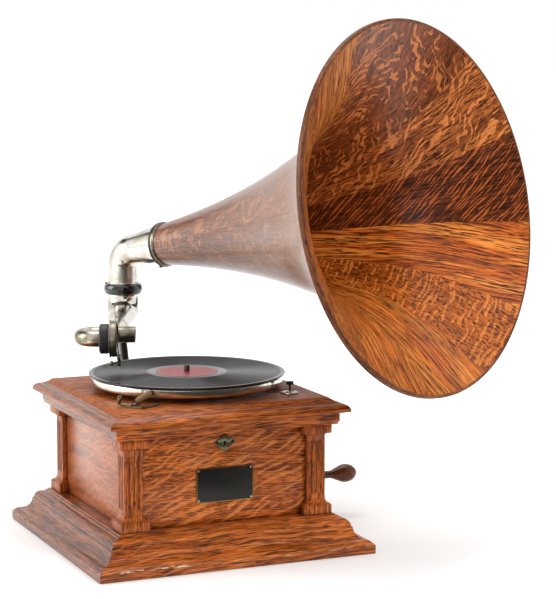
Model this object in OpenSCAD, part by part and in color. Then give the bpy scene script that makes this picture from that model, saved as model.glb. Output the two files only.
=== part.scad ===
// Table gramophone with a wooden horn, spring motor and gooseneck tone arm.
// Origin: centre of the cabinet's underside. +X is the crank side, -Y the front, +Z up. Millimetres.

/* [Cabinet] */
// Width and depth of the square base at the floor
base_w = 361; // [345:1:380]
// Width and depth over the shafts of the corner posts
body_w = 265; // [258:1:270]
// Height of the plinth moulding
plinth_h = 46; // [42:1:52]
// Height of posts and panels between plinth and lid
case_h = 114; // [110:1:120]
// Width of a corner post's shaft
post_w = 24; // [20:1:26]
// Thickness of the side panels
panel_t = 12; // [10:0.5:13]
// How far the panels lie behind the post shafts
panel_set = 6; // [3:0.5:8]
// Thickness of the bottom board
bottom_t = 10; // [6:0.5:14]
// Thickness of the motor board
board_t = 15; // [12:0.5:17]
// Width of the bevelled flat of the motor board
board_flat_w = 272; // [262:1:276]

/* [Mouldings] */
// Height of the square edge at the floor
base_edge_h = 10.8; // [8:0.2:13]
// Radius of the hollow in the plinth
cove_r = 15.5; // [13:0.5:17]
// Radius of the round above the hollow
ovolo_r = 10; // [8:0.5:11]
// How far post bases and capitals stand out from the shaft
block_out = 6.5; // [5:0.5:7.5]
// Height of the square blocks at a post's base and capital
block_h = 11.5; // [9:0.5:13]
// Radius of a flute in a post
flute_r = 1.5; // [1:0.1:2]
// Distance between flutes
flute_pitch = 6; // [4.5:0.25:7]
// Height of the lid's fascia and bead below the nosing
fascia_h = 14; // [11:0.5:16]
// How far the nosing stands out from the post shafts
nosing_out = 25; // [22:0.5:28]
// Height of the nosing moulding
nosing_h = 11.7; // [10.5:0.1:13]

/* [Name plate and lock] */
// Width of the plate on the front panel
plate_w = 75; // [60:1:90]
// Height of the plate on the front panel
plate_h = 43; // [30:1:50]
// Height of the plate's centre above the floor
plate_z = 93.5; // [85:0.5:100]
// Width of the lozenge-shaped lock plate
lozenge_w = 29; // [24:0.5:34]
// Height of the lozenge-shaped lock plate
lozenge_h = 21.5; // [18:0.5:24]
// Height of the lock plate's centre above the floor
lock_z = 145.5; // [140:0.5:147]
// Radius of the head of a small screw
screw_head_r = 1.6; // [1.2:0.1:2]

/* [Turntable] */
// Radius of the platter's upper edge
platter_r = 122.5; // [115:0.5:124]
// Height of the platter's rim
platter_h = 11; // [9:0.5:13]
// Gap between the motor board and the platter's rim
platter_gap = 7; // [5:0.5:9]
// Radius of the record
record_r = 125; // [124:0.5:127]
// Thickness of the record
record_t = 2.1; // [1.8:0.1:2.5]
// Radius of the record's label
label_r = 39.5; // [35:0.5:42]
// Thickness of the felt on the platter
felt_t = 1; // [0.8:0.1:2]
// Radius of the spindle's tip
spindle_tip_r = 3.5; // [3.4:0.05:3.6]
// Free height of the spindle above the record
spindle_free = 8; // [6:0.5:10]
// Step under the tip, that the record seats on by its hole
spindle_step = 0.2;

/* [Crank] */
// Height of the crank's shaft above the floor
crank_z = 118; // [112:1:121]
// Distance of the crank's shaft behind the cabinet's centre
crank_y = 20; // [16:1:24]
// Radius that the knob swings on
crank_throw = 63.8; // [55:0.2:70]
// Distance of the crank arm from the cabinet's centre
crank_arm_x = 190; // [186:1:200]
// Radius of the crank's shaft
crank_r = 4; // [3.5:0.1:4.5]
// Length of the turned knob
knob_l = 57; // [50:1:64]
// Largest radius of the knob
knob_r = 12; // [10:0.5:14]

/* [Motor] */
// Gap between the motor's two plates
plate_gap = 59; // [57:0.5:62]
// Thickness of the motor's plates
plate_t = 3.5; // [3:0.1:4]
// Module of the spur gears
spur_m = 0.8; // [0.78:0.01:0.82]
// Teeth of the great wheel on the spring barrel
great_n = 100; // [96:2:104]
// Teeth of the intermediate wheel
inter_n = 90; // [88:2:92]
// Teeth of each spur pinion
pinion_n = 16; // [15:1:17]
// Radius of the spring barrel
barrel_r = 36; // [32:0.5:37]
// Height of the spring barrel
barrel_h = 25; // [22:0.5:25.5]
// Turns of the mainspring
spring_turns = 9; // [6:1:11]

/* [Tone arm] */
// Distance of the tone arm's pivot behind the spindle
pivot_y = 241.6; // [238:0.2:246]
// Height of the middle of the bracket's ring
ring_z = 292.3; // [288:0.1:298]
// Outer radius of the bracket's ring
ring_r = 26.5; // [25:0.1:29]
// Height of the bracket's ring
ring_h = 14.5; // [12:0.5:17]
// Radius of the tone arm's large end
arm_big_r = 21.5; // [20.5:0.1:22.5]
// Radius of the tone arm's cross tube and of the gooseneck
arm_small_r = 10.5; // [10:0.1:11]
// Height of the tone arm's centre line
arm_z = 253.5; // [253:0.5:256]
// Distance from the pivot to the cross tube
arm_l = 170; // [166:1:174]
// Angle of the tone arm to the left of straight ahead
arm_angle = 22.9; // [18:0.1:28]
// Distance between the two legs of the gooseneck
neck_gap = 36; // [35.6:0.1:38]
// Radius of the sound box
box_r = 24; // [22:0.1:24.2]
// Radius of the rubber flange behind the sound box
flange_r = 19.3; // [18:0.1:21]

/* [Horn] */
// Angle of the horn towards the crank side
horn_turn = 26.7; // [20:0.1:34]
// Upward tilt of the horn
horn_tilt = 9.8; // [8:0.1:12]
// Height where the horn's axis crosses the pivot's axis
horn_z = 344.7; // [342:0.1:350]
// Distance along the axis from the pivot to the horn's throat
throat_s = 84.5; // [80:0.5:90]
// Length of the horn from throat to mouth
horn_l = 429.4; // [400:0.2:440]
// Outer radius of the horn's throat
throat_r = 27.9; // [27:0.1:29]
// Outer radius of the horn's mouth
mouth_r = 231.7; // [215:0.1:236]
// Thickness of the horn's wall
horn_t = 3.4; // [2.8:0.1:4]
// Number of tapered staves in the horn
gore_n = 12; // [10:2:14]
// Width of the rim band
rim_w = 8; // [6:0.5:10]

/* [Fits] */
// Radial running clearance of shafts
run = 0.06; // [0.04:0.01:0.09]
// Clearance between pieces of different bodies
air = 0.3; // [0.25:0.05:0.4]
// Glue line between joined pieces of wood
glue = 0.05; // [0.03:0.01:0.1]

/* [Hidden] */
$fn = 64;
base_half = base_w / 2;
body_half = body_w / 2;
block_half = post_w / 2 + block_out;
post_c = body_half - post_w / 2;
panel_out = body_half - panel_set;
panel_in = panel_out - panel_t;
inner_half = panel_in - 2.5;
lid_z = plinth_h + case_h;
nosing_z = lid_z + fascia_h + 2.6;
nosing_top = nosing_z + nosing_h;
top_z = nosing_top + 4.7;
board_z = top_z - board_t;
board_half = body_half + nosing_out - 15;
platter_z = top_z + platter_gap;
felt_z = platter_z + platter_h;
record_z = felt_z + felt_t;
record_top = record_z + record_t;
spindle_top = record_top + spindle_free;
spindle_low_r = spindle_tip_r + spindle_step;
spindle_hub_r = 8;
spindle_r = 4;
motor_top = board_z - 8;
plate_top_z = motor_top - plate_t;
plate_low_z = plate_top_z - plate_gap - plate_t;
// Winding worm and its wheel
wind_m = 1.25;
wind_starts = 4;
wind_n = 24;
wind_lead_a = 21;
wind_worm_r = wind_starts * wind_m / sin(wind_lead_a) / 2;
wind_wheel_r = wind_n * wind_m / cos(wind_lead_a) / 2;
wind_t = 8;
// Governor worm and the spindle wheel
gov_m = 0.8;
gov_starts = 3;
gov_n = 60;
gov_lead_a = 18;
gov_worm_r = gov_starts * gov_m / sin(gov_lead_a) / 2;
gov_wheel_r = gov_n * gov_m / cos(gov_lead_a) / 2;
gov_t = 5;
gov_y = -(gov_worm_r + gov_wheel_r);
gov_z = plate_low_z + plate_t + 29;
gov_left = 17;
gov_right = 6;
// Places of the motor's vertical arbors
barrel_share = 31 / 56;
barrel_x = barrel_share * inner_half;
barrel_y = crank_y + wind_worm_r + wind_wheel_r;
barrel_dist = sqrt(barrel_x * barrel_x + barrel_y * barrel_y);
reach_a = (inter_n + pinion_n) * spur_m / 2;
reach_b = (great_n + pinion_n) * spur_m / 2;
reach_s = (reach_a * reach_a - reach_b * reach_b + barrel_dist * barrel_dist) / (2 * barrel_dist);
reach_h = sqrt(reach_a * reach_a - reach_s * reach_s);
inter_x = (reach_s * barrel_x - reach_h * barrel_y) / barrel_dist;
inter_y = (reach_s * barrel_y + reach_h * barrel_x) / barrel_dist;
barrel_z = crank_z + wind_worm_r + 2.5;
great_z = barrel_z + barrel_h;
wheel_t = 2.5;
inter_z = great_z + wheel_t + 3;
arbor_r = 4;
inter_r = 2.5;
gov_shaft_r = 1.6;
pillar_r = 4;
pillar_left = 46;
pillar_right = 18;
pillar_back = 9;
pillar_y = 32;
pillar_front_y = 14;
pillar_back_y = 76;
pillar_gov = 15;
pillar_pos = [[inter_x - pillar_left, pillar_y], [-gov_left - pillar_gov, -pillar_y],
  [inner_half - pillar_right, -pillar_front_y], [inner_half - pillar_back, pillar_back_y]];
plate_side = 12;
plate_room = 3;
plate_front = 78;
plate_back = 88;
low_front = 42;
low_back = 84;
motor_x = [min(pillar_pos[0][0], pillar_pos[1][0]) - plate_side, inner_half - plate_room];
motor_y = [-plate_front, plate_back];
low_y = [-low_front, low_back];
bolt_side = 8;
bolt_y = 60;
bolt_right = 42;
bolt_back = 28;
motor_bolt_pos = [[motor_x[0] + bolt_side, bolt_y], [motor_x[0] + bolt_side, -bolt_y],
  [inner_half - bolt_right, bolt_side - plate_front], [inner_half - bolt_back, plate_back - bolt_side]];
// Speed control
speed_side = 8;
speed_x = inner_half - speed_side;
speed_y = -89;
rocker_side = 26;
rocker_x = inner_half - rocker_side;
rocker_drop = 8;
rocker_z = plate_top_z - rocker_drop;
rocker_r = 2;
disc_side = 10;
disc_x = rocker_x - disc_side;
pad_out = 9;
pad_y = gov_y - pad_out;
// Brake
brake_pivot = [-112, -103];
brake_plate_t = 1.8;
// Tone arm details
arm_bend = 29.5;
ring_low = ring_z - ring_h / 2;
ring_bore = 19.58;
neck_r = ring_bore - run;
neck_wall = 2;
cross_l = 26;
cross_start = -16;
bush_r = 8.4;
box_a = arm_l + neck_gap;
box_b = -5;
box_t = 10;
u_b = -23.5;
needle_r = 0.75;
needle_lean = 34;
bar_a = box_a + 3.5;
bar_b = box_b + box_t + 2;
bar_z = arm_z - box_r + 0.9;
tip_z = record_top + 0.25;
needle_l = (bar_z - tip_z) / cos(needle_lean);
// Horn details
elbow_r = neck_r;
elbow_bend = 24;
elbow_turn = 90 - horn_tilt;
bend_s = elbow_bend * tan(elbow_turn / 2);
collar_s = throat_s - 5;
gore_step = 360 / gore_n;
gore_start = 21.6;
profile_n = 36;

// Outlines
function oval(cx, cy, rx, ry, a0, a1, n = 8) =
  [for (i = [0:n]) let(a = a0 + (a1 - a0) * i / n) [cx + rx * cos(a), cy + ry * sin(a)]];
function arc(cx, cy, r, a0, a1, n = 8) = oval(cx, cy, r, r, a0, a1, n);
function polar(r, a) = [r * cos(a), r * sin(a)];
function unit(v) = v / norm(v);
function mirrored(p) = concat(p, [for (i = [len(p) - 1:-1:0]) [-p[i][0], p[i][1]]]);
function bezier(p, t) = let(u = 1 - t)
  p[0] * u * u * u + 3 * p[1] * u * u * t + 3 * p[2] * u * t * t + p[3] * t * t * t;
// Smooth curve through the stations (ts, ks)
function slope(ts, ks, i) = let(a = max(i - 1, 0), b = min(i + 1, len(ts) - 1))
  (ks[b] - ks[a]) / (ts[b] - ts[a]);
function smooth(ts, ks, t, i = 0) = t <= ts[i + 1] || i == len(ts) - 2
  ? let(h = ts[i + 1] - ts[i], u = (t - ts[i]) / h, v = 1 - u)
    ks[i] * (1 + 2 * u) * v * v + ks[i + 1] * u * u * (3 - 2 * u)
    + h * slope(ts, ks, i) * u * v * v - h * slope(ts, ks, i + 1) * u * u * v
  : smooth(ts, ks, t, i + 1);

// Plinth section as [distance out, height]: square edge, fillet, hollow, round and small steps
cove_x = base_half - 6;
cove_top = plinth_h - 14.7;
ovolo_x = cove_x - cove_r - 1.5 - ovolo_r;
ovolo_z = plinth_h - 4.3 - ovolo_r;
function plinth_section() = concat(
  [[inner_half, 0], [base_half, 0], [base_half, base_edge_h], [cove_x, cove_top - cove_r]],
  arc(cove_x, cove_top, cove_r, 270, 180),
  [[cove_x - cove_r - 0.8, cove_top + 0.5], [ovolo_x + ovolo_r, ovolo_z]],
  arc(ovolo_x, ovolo_z, ovolo_r, 0, 90),
  [[ovolo_x - 2, plinth_h - 4], [ovolo_x - 2.4, plinth_h - 1.8], [ovolo_x - 5, plinth_h - 1.5]],
  [[ovolo_x - 5.4, plinth_h], [inner_half, plinth_h]]);

// Lid section as [distance out, height]: bead, fascia, undercut and nosing, rebated for the board
function lid_section() = concat(
  [[inner_half, lid_z], [body_half + 11.2, lid_z], [body_half + 12.7, lid_z + 0.7]],
  [[body_half + 12.7, lid_z + 3], [body_half + 14, lid_z + 4], [body_half + 14, lid_z + fascia_h]],
  [[body_half + 15.5, lid_z + fascia_h], [body_half + 20.5, nosing_z - 1.1]],
  [[body_half + nosing_out - 1, nosing_z - 0.3], [body_half + nosing_out, nosing_z + 0.6]],
  oval(board_half + 4, nosing_z + 1.6, nosing_out - 14.2, nosing_h - 3.4, 0, 90),
  [[board_half + 1, nosing_top], [board_half, nosing_top], [board_half, board_z]],
  [[inner_half, board_z]]);

// Post outline as [distance out, height]: base block and curve, shaft, capital curve and block
post_low = plinth_h + block_h;
post_high = lid_z - block_h;
function post_side() = concat(
  [[block_half - 0.4, plinth_h], [block_half, plinth_h + 0.5], [block_half, post_low]],
  [[block_half - 1.2, post_low + 0.3], [block_half - 1.2, post_low + 1.4]],
  oval(block_half - 1.2, post_low + 9, block_out - 1.2, 7.6, 270, 180, 6),
  [[post_w / 2, post_high - 3.6]],
  oval(block_half - 0.6, post_high - 3.6, block_out - 0.6, 3.4, 180, 90, 5),
  [[block_half, post_high + 0.5], [block_half, lid_z]]);

// Horn: share of the flare at each station along the wall, and the wall's two outlines
flare_t = [0, 0.15, 0.3, 0.45, 0.6, 0.75, 0.88, 1];
flare_k = [0, 0.048, 0.112, 0.195, 0.303, 0.437, 0.665, 1];
lip_r = 2.2;
lip_s = 3;
function horn_point(t) = [throat_r + (mouth_r - lip_r - throat_r) * smooth(flare_t, flare_k, t),
  throat_s + (horn_l - lip_s) * t];
function horn_normal(t) = let(d = unit(horn_point(t + 0.001) - horn_point(t - 0.001))) [-d[1], d[0]];
function horn_in(t) = t == 0 ? [throat_r - horn_t, throat_s] : horn_point(t) + horn_t * horn_normal(t);
function horn_wall() = concat([for (i = [0:profile_n]) horn_point(i / profile_n)],
  [for (i = [profile_n:-1:0]) horn_in(i / profile_n)]);

// Involute gear outline with addendum add, dedendum ded and play between teeth back
function gear_points(n, m, pa, add, ded, back) =
  let(r = n * m / 2, rb = r * cos(pa), ra = r + add, rf = r - ded, rs = max(rb, rf) + 0.001,
      top = 90 / n - back * 90 / (PI * r) + inv(pa))
  [for (i = [0:n - 1]) let(c = i * 360 / n) each concat(
    [polar(rf, c - top + flank(rs, rb))],
    [for (j = [0:2]) let(q = rs + (ra - rs) * j / 2) polar(q, c - top + flank(q, rb))],
    [for (j = [2:-1:0]) let(q = rs + (ra - rs) * j / 2) polar(q, c + top - flank(q, rb))],
    [polar(rf, c + top - flank(rs, rb))])];
function inv(a) = tan(a) * 180 / PI - a;
function flank(q, rb) = inv(acos(min(1, rb / q)));

// Shared shapes
module spur(n, t) {
  linear_extrude(t) polygon(gear_points(n, spur_m, 20, 0.9 * spur_m, 1.2 * spur_m, 0.16));
}
// Helical gear or worm, its teeth at angle b to its axis, centred on its middle
module helical(n, m, b, t, slices) {
  mt = m / cos(b);
  twist = 360 * t * tan(b) / (PI * n * mt);
  points = gear_points(n, mt, atan(tan(20) / cos(b)), 0.9 * m, 1.15 * m, 0.2 / cos(b));
  rotate([0, 0, twist / 2])
    linear_extrude(t, center = true, twist = twist, slices = slices) polygon(points);
}
module bar2d(p, q, w) {
  translate(p) rotate([0, 0, atan2(q[1] - p[1], q[0] - p[0])])
    translate([0, -w / 2]) square([norm(q - p), w]);
  translate(p) circle(w / 2);
  translate(q) circle(w / 2);
}
module plate2d(w, h, r) {
  square([w - 2 * r, h], center = true);
  square([w, h - 2 * r], center = true);
  for (x = [-1, 1], y = [-1, 1]) translate([x * (w / 2 - r), y * (h / 2 - r)]) circle(r);
}
module tube(r, ri, h) {
  linear_extrude(h) difference() {
    circle(r);
    circle(ri);
  }
}
module screw(r, h, shank_r, shank_l) {
  difference() {
    rotate_extrude() polygon(concat([[0, 0]], oval(0, 0, r, h, 0, 90, 6)));
    translate([-r - 1, -0.25, h * 0.55]) cube([2 * r + 2, 0.5, h]);
  }
  translate([0, 0, -shank_l]) cylinder(r = shank_r, h = shank_l);
}
module bend(rho, r, a0, a) {
  rotate([90, 0, 0]) rotate([0, 0, a0]) rotate_extrude(angle = a, $fn = 96)
    translate([rho, 0]) circle(r, $fn = 48);
}
module four_sides() {
  for (a = [0, 90, 180, 270]) rotate([0, 0, a]) children();
}
module mitred(section, reach) {
  intersection() {
    rotate([90, 0, 90]) linear_extrude(2 * reach, center = true) polygon(section);
    translate([0, glue, 0]) linear_extrude(top_z) polygon([[0, 0], [reach, reach], [-reach, reach]]);
  }
}
module at_front(x, y, z) {
  translate([x, -y, z]) rotate([90, 0, 0]) children();
}
module at_arm() {
  translate([0, pivot_y, 0]) rotate([0, 0, -90 - arm_angle]) children();
}
module at_horn() {
  translate([0, pivot_y, horn_z]) rotate([0, 0, horn_turn - 90]) children();
}
module at_axis(s = 0) {
  at_horn() rotate([0, 90 - horn_tilt, 0]) translate([0, 0, s]) children();
}
module along_x(x, y, z) {
  translate([x, y, z]) rotate([0, 90, 0]) children();
}
module along_b(a, b, z) {
  translate([a, b, z]) rotate([-90, 0, 0]) children();
}

// Cabinet
module plinth_mouldings() {
  color("sienna") four_sides() mitred(plinth_section(), base_half);
}
module bottom_board() {
  color("peru") translate([-inner_half, -inner_half, 0]) cube([2 * inner_half, 2 * inner_half, bottom_t]);
}
module post_solid() {
  intersection() {
    rotate([90, 0, 0]) linear_extrude(3 * post_w, center = true) polygon(mirrored(post_side()));
    rotate([90, 0, 90]) linear_extrude(3 * post_w, center = true) polygon(mirrored(post_side()));
  }
}
module flute(x) {
  translate([x, post_w / 2, post_low + 16]) cylinder(r = flute_r, h = post_high - post_low - 27);
  for (z = [post_low + 16, post_high - 11]) translate([x, post_w / 2, z]) sphere(flute_r);
}
module corner_posts() {
  color("sienna") four_sides() translate([post_c, post_c, 0]) difference() {
    post_solid();
    for (i = [-1:1]) {
      flute(i * flute_pitch);
      mirror([1, -1, 0]) flute(i * flute_pitch);
    }
    translate([-post_c, -2 * post_w, 0]) cube([post_c - post_w / 2, 2 * post_w + panel_out - post_c, top_z]);
    translate([-2 * post_w, -post_c, 0]) cube([2 * post_w + panel_out - post_c, post_c - post_w / 2, top_z]);
  }
}
panel_half = body_half - post_w;
module panel() {
  translate([-panel_half, panel_in, plinth_h]) cube([2 * panel_half, panel_t, case_h]);
}
lock_y = panel_in + 3.2;
lock_w = 48;
lock_low = lock_z - 14;
lock_depth = 6.8;
module keyhole(l) {
  cylinder(r = 1.6, h = l, center = true);
  translate([-0.7, -4, -l / 2]) cube([1.4, 4, l]);
}
module front_panel() {
  color("peru") difference() {
    rotate([0, 0, 180]) panel();
    translate([-lock_w / 2, -panel_in - lock_depth, lock_low]) cube([lock_w, 2 * lock_depth, top_z]);
    at_front(0, panel_out, lock_z) keyhole(2 * panel_t);
    for (x = [-1, 1], z = [-1, 1]) at_front(x * plate_screw_x, panel_out, plate_z + z * plate_screw_z)
      cylinder(r = pin_r, h = 12, center = true);
    for (x = [-1, 1]) at_front(x * lozenge_screw_x, panel_out, lock_z)
      cylinder(r = pin_r, h = 8, center = true);
  }
}
bracket_w = 44;
bracket_low = 92;
bracket_high = 150;
bracket_t = 5;
bracket_screw_r = 2;
module bracket_holes() {
  for (x = [-1, 1], z = [bracket_low + 9, bracket_high - 9])
    translate([x * (bracket_w / 2 - 7), panel_out + bracket_t, z]) rotate([-90, 0, 0]) children();
}
module back_panel() {
  color("peru") difference() {
    panel();
    bracket_holes() cylinder(r = bracket_screw_r, h = 30, center = true);
  }
}
module left_panel() {
  color("peru") rotate([0, 0, 90]) panel();
}
crank_bush_r = 6.5;
module right_panel() {
  color("peru") difference() {
    rotate([0, 0, -90]) panel();
    along_x(panel_in - 1, crank_y, crank_z) cylinder(r = crank_bush_r, h = panel_t + 2);
  }
}
strike_w = 36;
strike_d = 9;
strike_t = 1.6;
module lid_mouldings() {
  color("sienna") difference() {
    four_sides() mitred(lid_section(), base_half);
    translate([-strike_w / 2, -lock_y - strike_d / 2, lid_z - 1]) cube([strike_w, strike_d, strike_t + 1]);
    translate([-10, -lock_y - 3, lid_z]) cube([20, 6, 8]);
  }
}
module board_outline() {
  polygon(mirrored([[board_half, board_z], [board_half, nosing_top],
    [board_half - 2.1, nosing_top + 1.3], [board_flat_w / 2, top_z]]));
}
bolt_r = 2;
pin_r = 0.8;
speed_r = 1.4;
flange_screw = 8;
module motor_board() {
  color("sienna") difference() {
    intersection() {
      rotate([90, 0, 0]) linear_extrude(2 * board_half, center = true) board_outline();
      rotate([90, 0, 90]) linear_extrude(2 * board_half, center = true) board_outline();
    }
    translate([0, 0, board_z - 1]) cylinder(r = 9, h = board_t + 2);
    for (p = motor_bolt_pos) translate([p[0], p[1], board_z - 1]) cylinder(r = bolt_r, h = 10);
    translate([speed_x, speed_y, board_z - 1]) cylinder(r = speed_r + 1, h = board_t + 2);
    flange_screws() cylinder(r = pin_r, h = 16, center = true);
    brake_screws() cylinder(r = pin_r, h = 16, center = true);
  }
}

// Lid hinges: a leaf on the back panel, a leaf under the lid and a pin in three knuckles
hinge_w = 36;
hinge_gap = 6;
hinge_x = post_c - block_half - hinge_gap - hinge_w / 2;
hinge_leaf_h = 15;
hinge_leaf_d = 12;
hinge_leaf = 6;
hinge_mid = 2 * hinge_leaf + 0.4;
hinge_r = 2.6;
hinge_pin_r = 1.2;
leaf_t = 1.4;
hinge_y = panel_out + hinge_r + 0.2;
hinge_z = lid_z - hinge_r - 0.2;
module knuckle(x0, x1) {
  translate([x0, hinge_y, hinge_z]) rotate([90, 0, 90]) tube(hinge_r, hinge_pin_r, x1 - x0);
}
module lid_hinge() {
  difference() {
    translate([-hinge_w / 2, panel_out, hinge_z - hinge_leaf_h]) cube([hinge_w, leaf_t, hinge_leaf_h]);
    translate([-hinge_mid / 2, panel_out - 1, hinge_z - 3]) cube([hinge_mid, leaf_t + 2, 4]);
    translate([-hinge_w / 2 - 1, hinge_y, hinge_z]) rotate([0, 90, 0])
      cylinder(r = hinge_r - 0.3, h = hinge_w + 2);
  }
  for (s = [-1, 1])
    knuckle(s > 0 ? hinge_mid / 2 : -hinge_w / 2, s > 0 ? hinge_w / 2 : -hinge_mid / 2);
  difference() {
    translate([-hinge_w / 2, hinge_y + 0.4, lid_z - leaf_t]) cube([hinge_w, hinge_leaf_d, leaf_t]);
    for (s = [-1, 1]) translate([s > 0 ? hinge_leaf : -hinge_w / 2 - 1, hinge_y, lid_z - 3])
      cube([hinge_w / 2 - hinge_leaf + 1, 3.2, 4]);
    translate([-hinge_w, hinge_y, hinge_z]) rotate([0, 90, 0]) cylinder(r = hinge_r - 0.3, h = 2 * hinge_w);
  }
  knuckle(-hinge_leaf, hinge_leaf);
  translate([-hinge_w / 2, hinge_y, hinge_z]) rotate([0, 90, 0]) cylinder(r = hinge_pin_r, h = hinge_w);
}
module lid_hinges() {
  color("darkkhaki") for (s = [-1, 1]) translate([s * hinge_x, 0, 0]) lid_hinge();
}

// Name plate, lock and small screws
plate_screw_x = plate_w / 2 - 3;
plate_screw_z = plate_h / 2 - 3;
plate_face_t = 1;
plate_rim_t = 0.4;
module name_plate() {
  color("#1b1612") at_front(0, panel_out, plate_z) difference() {
    union() {
      linear_extrude(plate_face_t) plate2d(plate_w, plate_h, 3);
      linear_extrude(plate_face_t + plate_rim_t) difference() {
        plate2d(plate_w, plate_h, 3);
        plate2d(plate_w - 1.6, plate_h - 1.6, 2.2);
      }
    }
    for (x = [-1, 1], z = [-1, 1]) translate([x * plate_screw_x, z * plate_screw_z, -1])
      cylinder(r = pin_r, h = 4);
  }
}
lozenge_t = 1.1;
lozenge_screw_x = lozenge_w / 2 - 4.5;
module lock_plate() {
  color("#8c8468") at_front(0, panel_out, lock_z) difference() {
    linear_extrude(lozenge_t)
      polygon([[lozenge_w / 2, 0], [0, lozenge_h / 2], [-lozenge_w / 2, 0], [0, -lozenge_h / 2]]);
    keyhole(4);
    for (x = [-1, 1]) translate([x * lozenge_screw_x, 0, -1]) cylinder(r = pin_r, h = 4);
  }
}
lock_bolt_w = 16;
lock_bolt_t = 3;
module lock_case() {
  color("#6d6a60") difference() {
    translate([-lock_w / 2, -panel_in - lock_depth, lock_low]) cube([lock_w, lock_depth, lid_z - lock_low]);
    translate([-lock_bolt_w / 2 - air, -lock_y - lock_bolt_t / 2 - air, lock_z - 6])
      cube([lock_bolt_w + 2 * air, lock_bolt_t + 2 * air, 40]);
    at_front(0, panel_out, lock_z) keyhole(2 * panel_t);
  }
}
module lock_bolt() {
  color("#b0aa98") translate([-lock_bolt_w / 2, -lock_y - lock_bolt_t / 2, lock_z + 1])
    cube([lock_bolt_w, lock_bolt_t, lid_z - lock_z + 4]);
}
module lock_strike() {
  color("#8c8468") difference() {
    translate([-strike_w / 2, -lock_y - strike_d / 2, lid_z]) cube([strike_w, strike_d, strike_t]);
    translate([-lock_bolt_w / 2 - air, -lock_y - lock_bolt_t / 2 - air, lid_z - 1])
      cube([lock_bolt_w + 2 * air, lock_bolt_t + 2 * air, strike_t + 2]);
  }
}
module flange_screws() {
  for (a = [40, 220]) translate([speed_x + flange_screw * cos(a), speed_y + flange_screw * sin(a), top_z])
    children();
}
module brake_screws() {
  for (p = [brake_vertex, brake_far]) translate([p[0], p[1], top_z]) children();
}
module small_screws() {
  color("#d8c890") {
    for (x = [-1, 1], z = [-1, 1])
      at_front(x * plate_screw_x, panel_out + plate_face_t, plate_z + z * plate_screw_z)
        screw(screw_head_r - 0.3, 0.9, pin_r, 6);
    for (x = [-1, 1]) at_front(x * lozenge_screw_x, panel_out + lozenge_t, lock_z)
      screw(screw_head_r, 0.8, pin_r, 4);
    flange_screws() translate([0, 0, speed_flange_t]) screw(screw_head_r, 1, pin_r, 7);
    brake_screws() translate([0, 0, brake_plate_t]) screw(screw_head_r + 0.4, 1.2, pin_r, 8);
  }
}

// Speed control
speed_flange_r = 11.5;
speed_flange_t = 1.5;
speed_head_r = 4.7;
speed_head_z = top_z + 11;
module speed_flange() {
  color("silver") translate([speed_x, speed_y, top_z]) difference() {
    rotate_extrude() polygon([[speed_r + run, 0], [speed_flange_r, 0], [speed_flange_r, 0.7],
      [speed_flange_r - 1, speed_flange_t], [4, speed_flange_t], [3.4, 2.6], [speed_r + run, 2.6]]);
    for (a = [40, 220]) translate([flange_screw * cos(a), flange_screw * sin(a), -1])
      cylinder(r = pin_r, h = 4);
  }
}
module speed_screw() {
  low = rocker_z + rocker_arm_t / 2 + 0.6;
  color("#5b5348") translate([speed_x, speed_y, 0]) {
    translate([0, 0, low]) cylinder(r = speed_r, h = speed_head_z - low);
    translate([0, 0, speed_head_z]) rotate_extrude() polygon([[0, 0], [speed_head_r - 0.4, 0],
      [speed_head_r, 0.5], [speed_head_r, 3.2], [speed_head_r - 0.8, 4], [0, 4]]);
  }
}

// Brake
brake_vertex = [-103, -116];
brake_far = [-80, -103];
brake_near = [-119, -95];
shoe_r = 4.2;
shoe_turn = [0.673, 0.739];
shoe_end = -(platter_r + air + shoe_r + 0.3) * shoe_turn;
shoe_foot = [-103, -101];
brake_t = 1.6;
module brake_plate() {
  color("#75695a") translate([0, 0, top_z]) difference() {
    linear_extrude(brake_plate_t) {
      bar2d(brake_near, brake_vertex, 8);
      bar2d(brake_vertex, brake_far, 7);
    }
    for (p = [brake_vertex, brake_far]) translate([p[0], p[1], -1]) cylinder(r = pin_r, h = 4);
  }
  color("#75695a") translate([brake_pivot[0], brake_pivot[1], top_z + brake_plate_t])
    cylinder(r = 1.8, h = 3.4);
}
brake_z = top_z + brake_plate_t + air;
thumb = [-121.5, -93];
module brake_lever() {
  color("#857862") {
    difference() {
      translate([0, 0, brake_z]) linear_extrude(brake_t) {
        bar2d(thumb, brake_pivot, 6);
        bar2d(brake_pivot, shoe_foot, 7);
      }
      translate([brake_pivot[0], brake_pivot[1], brake_z - 1]) cylinder(r = 1.8 + run, h = 5);
    }
    translate([thumb[0], thumb[1], brake_z]) rotate([0, 0, 132]) translate([0, 3, 0]) rotate([90, 0, 0])
      linear_extrude(6) difference() {
        union() {
          translate([2, 0]) square([1.3, 9]);
          translate([1, 9.6]) circle(2.3);
        }
        translate([0.8, 9.6]) circle(1.2);
      }
    translate([shoe_foot[0], shoe_foot[1], brake_z]) cylinder(r = 2, h = shoe_z - brake_z);
  }
}
shoe_z = brake_z + brake_t + shoe_r - 1;
shoe_rise = platter_z + 5.5;
module brake_shoe() {
  run_xy = shoe_end - shoe_foot;
  l = norm([run_xy[0], run_xy[1], shoe_rise - shoe_z]);
  color("#8a6b49") difference() {
    translate([shoe_foot[0], shoe_foot[1], shoe_z + 1]) rotate([0, 0, atan2(run_xy[1], run_xy[0])])
      rotate([0, acos((shoe_rise - shoe_z) / l), 0]) {
        cylinder(r1 = shoe_r * 0.8, r2 = shoe_r, h = l - 1);
        sphere(shoe_r * 0.8);
        translate([0, 0, l - 1]) sphere(shoe_r);
      }
    translate([shoe_foot[0], shoe_foot[1], brake_z]) cylinder(r = 2, h = shoe_z - brake_z);
    translate([0, 0, brake_z - 5]) linear_extrude(5 + brake_t) square(400, center = true);
  }
}

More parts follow.
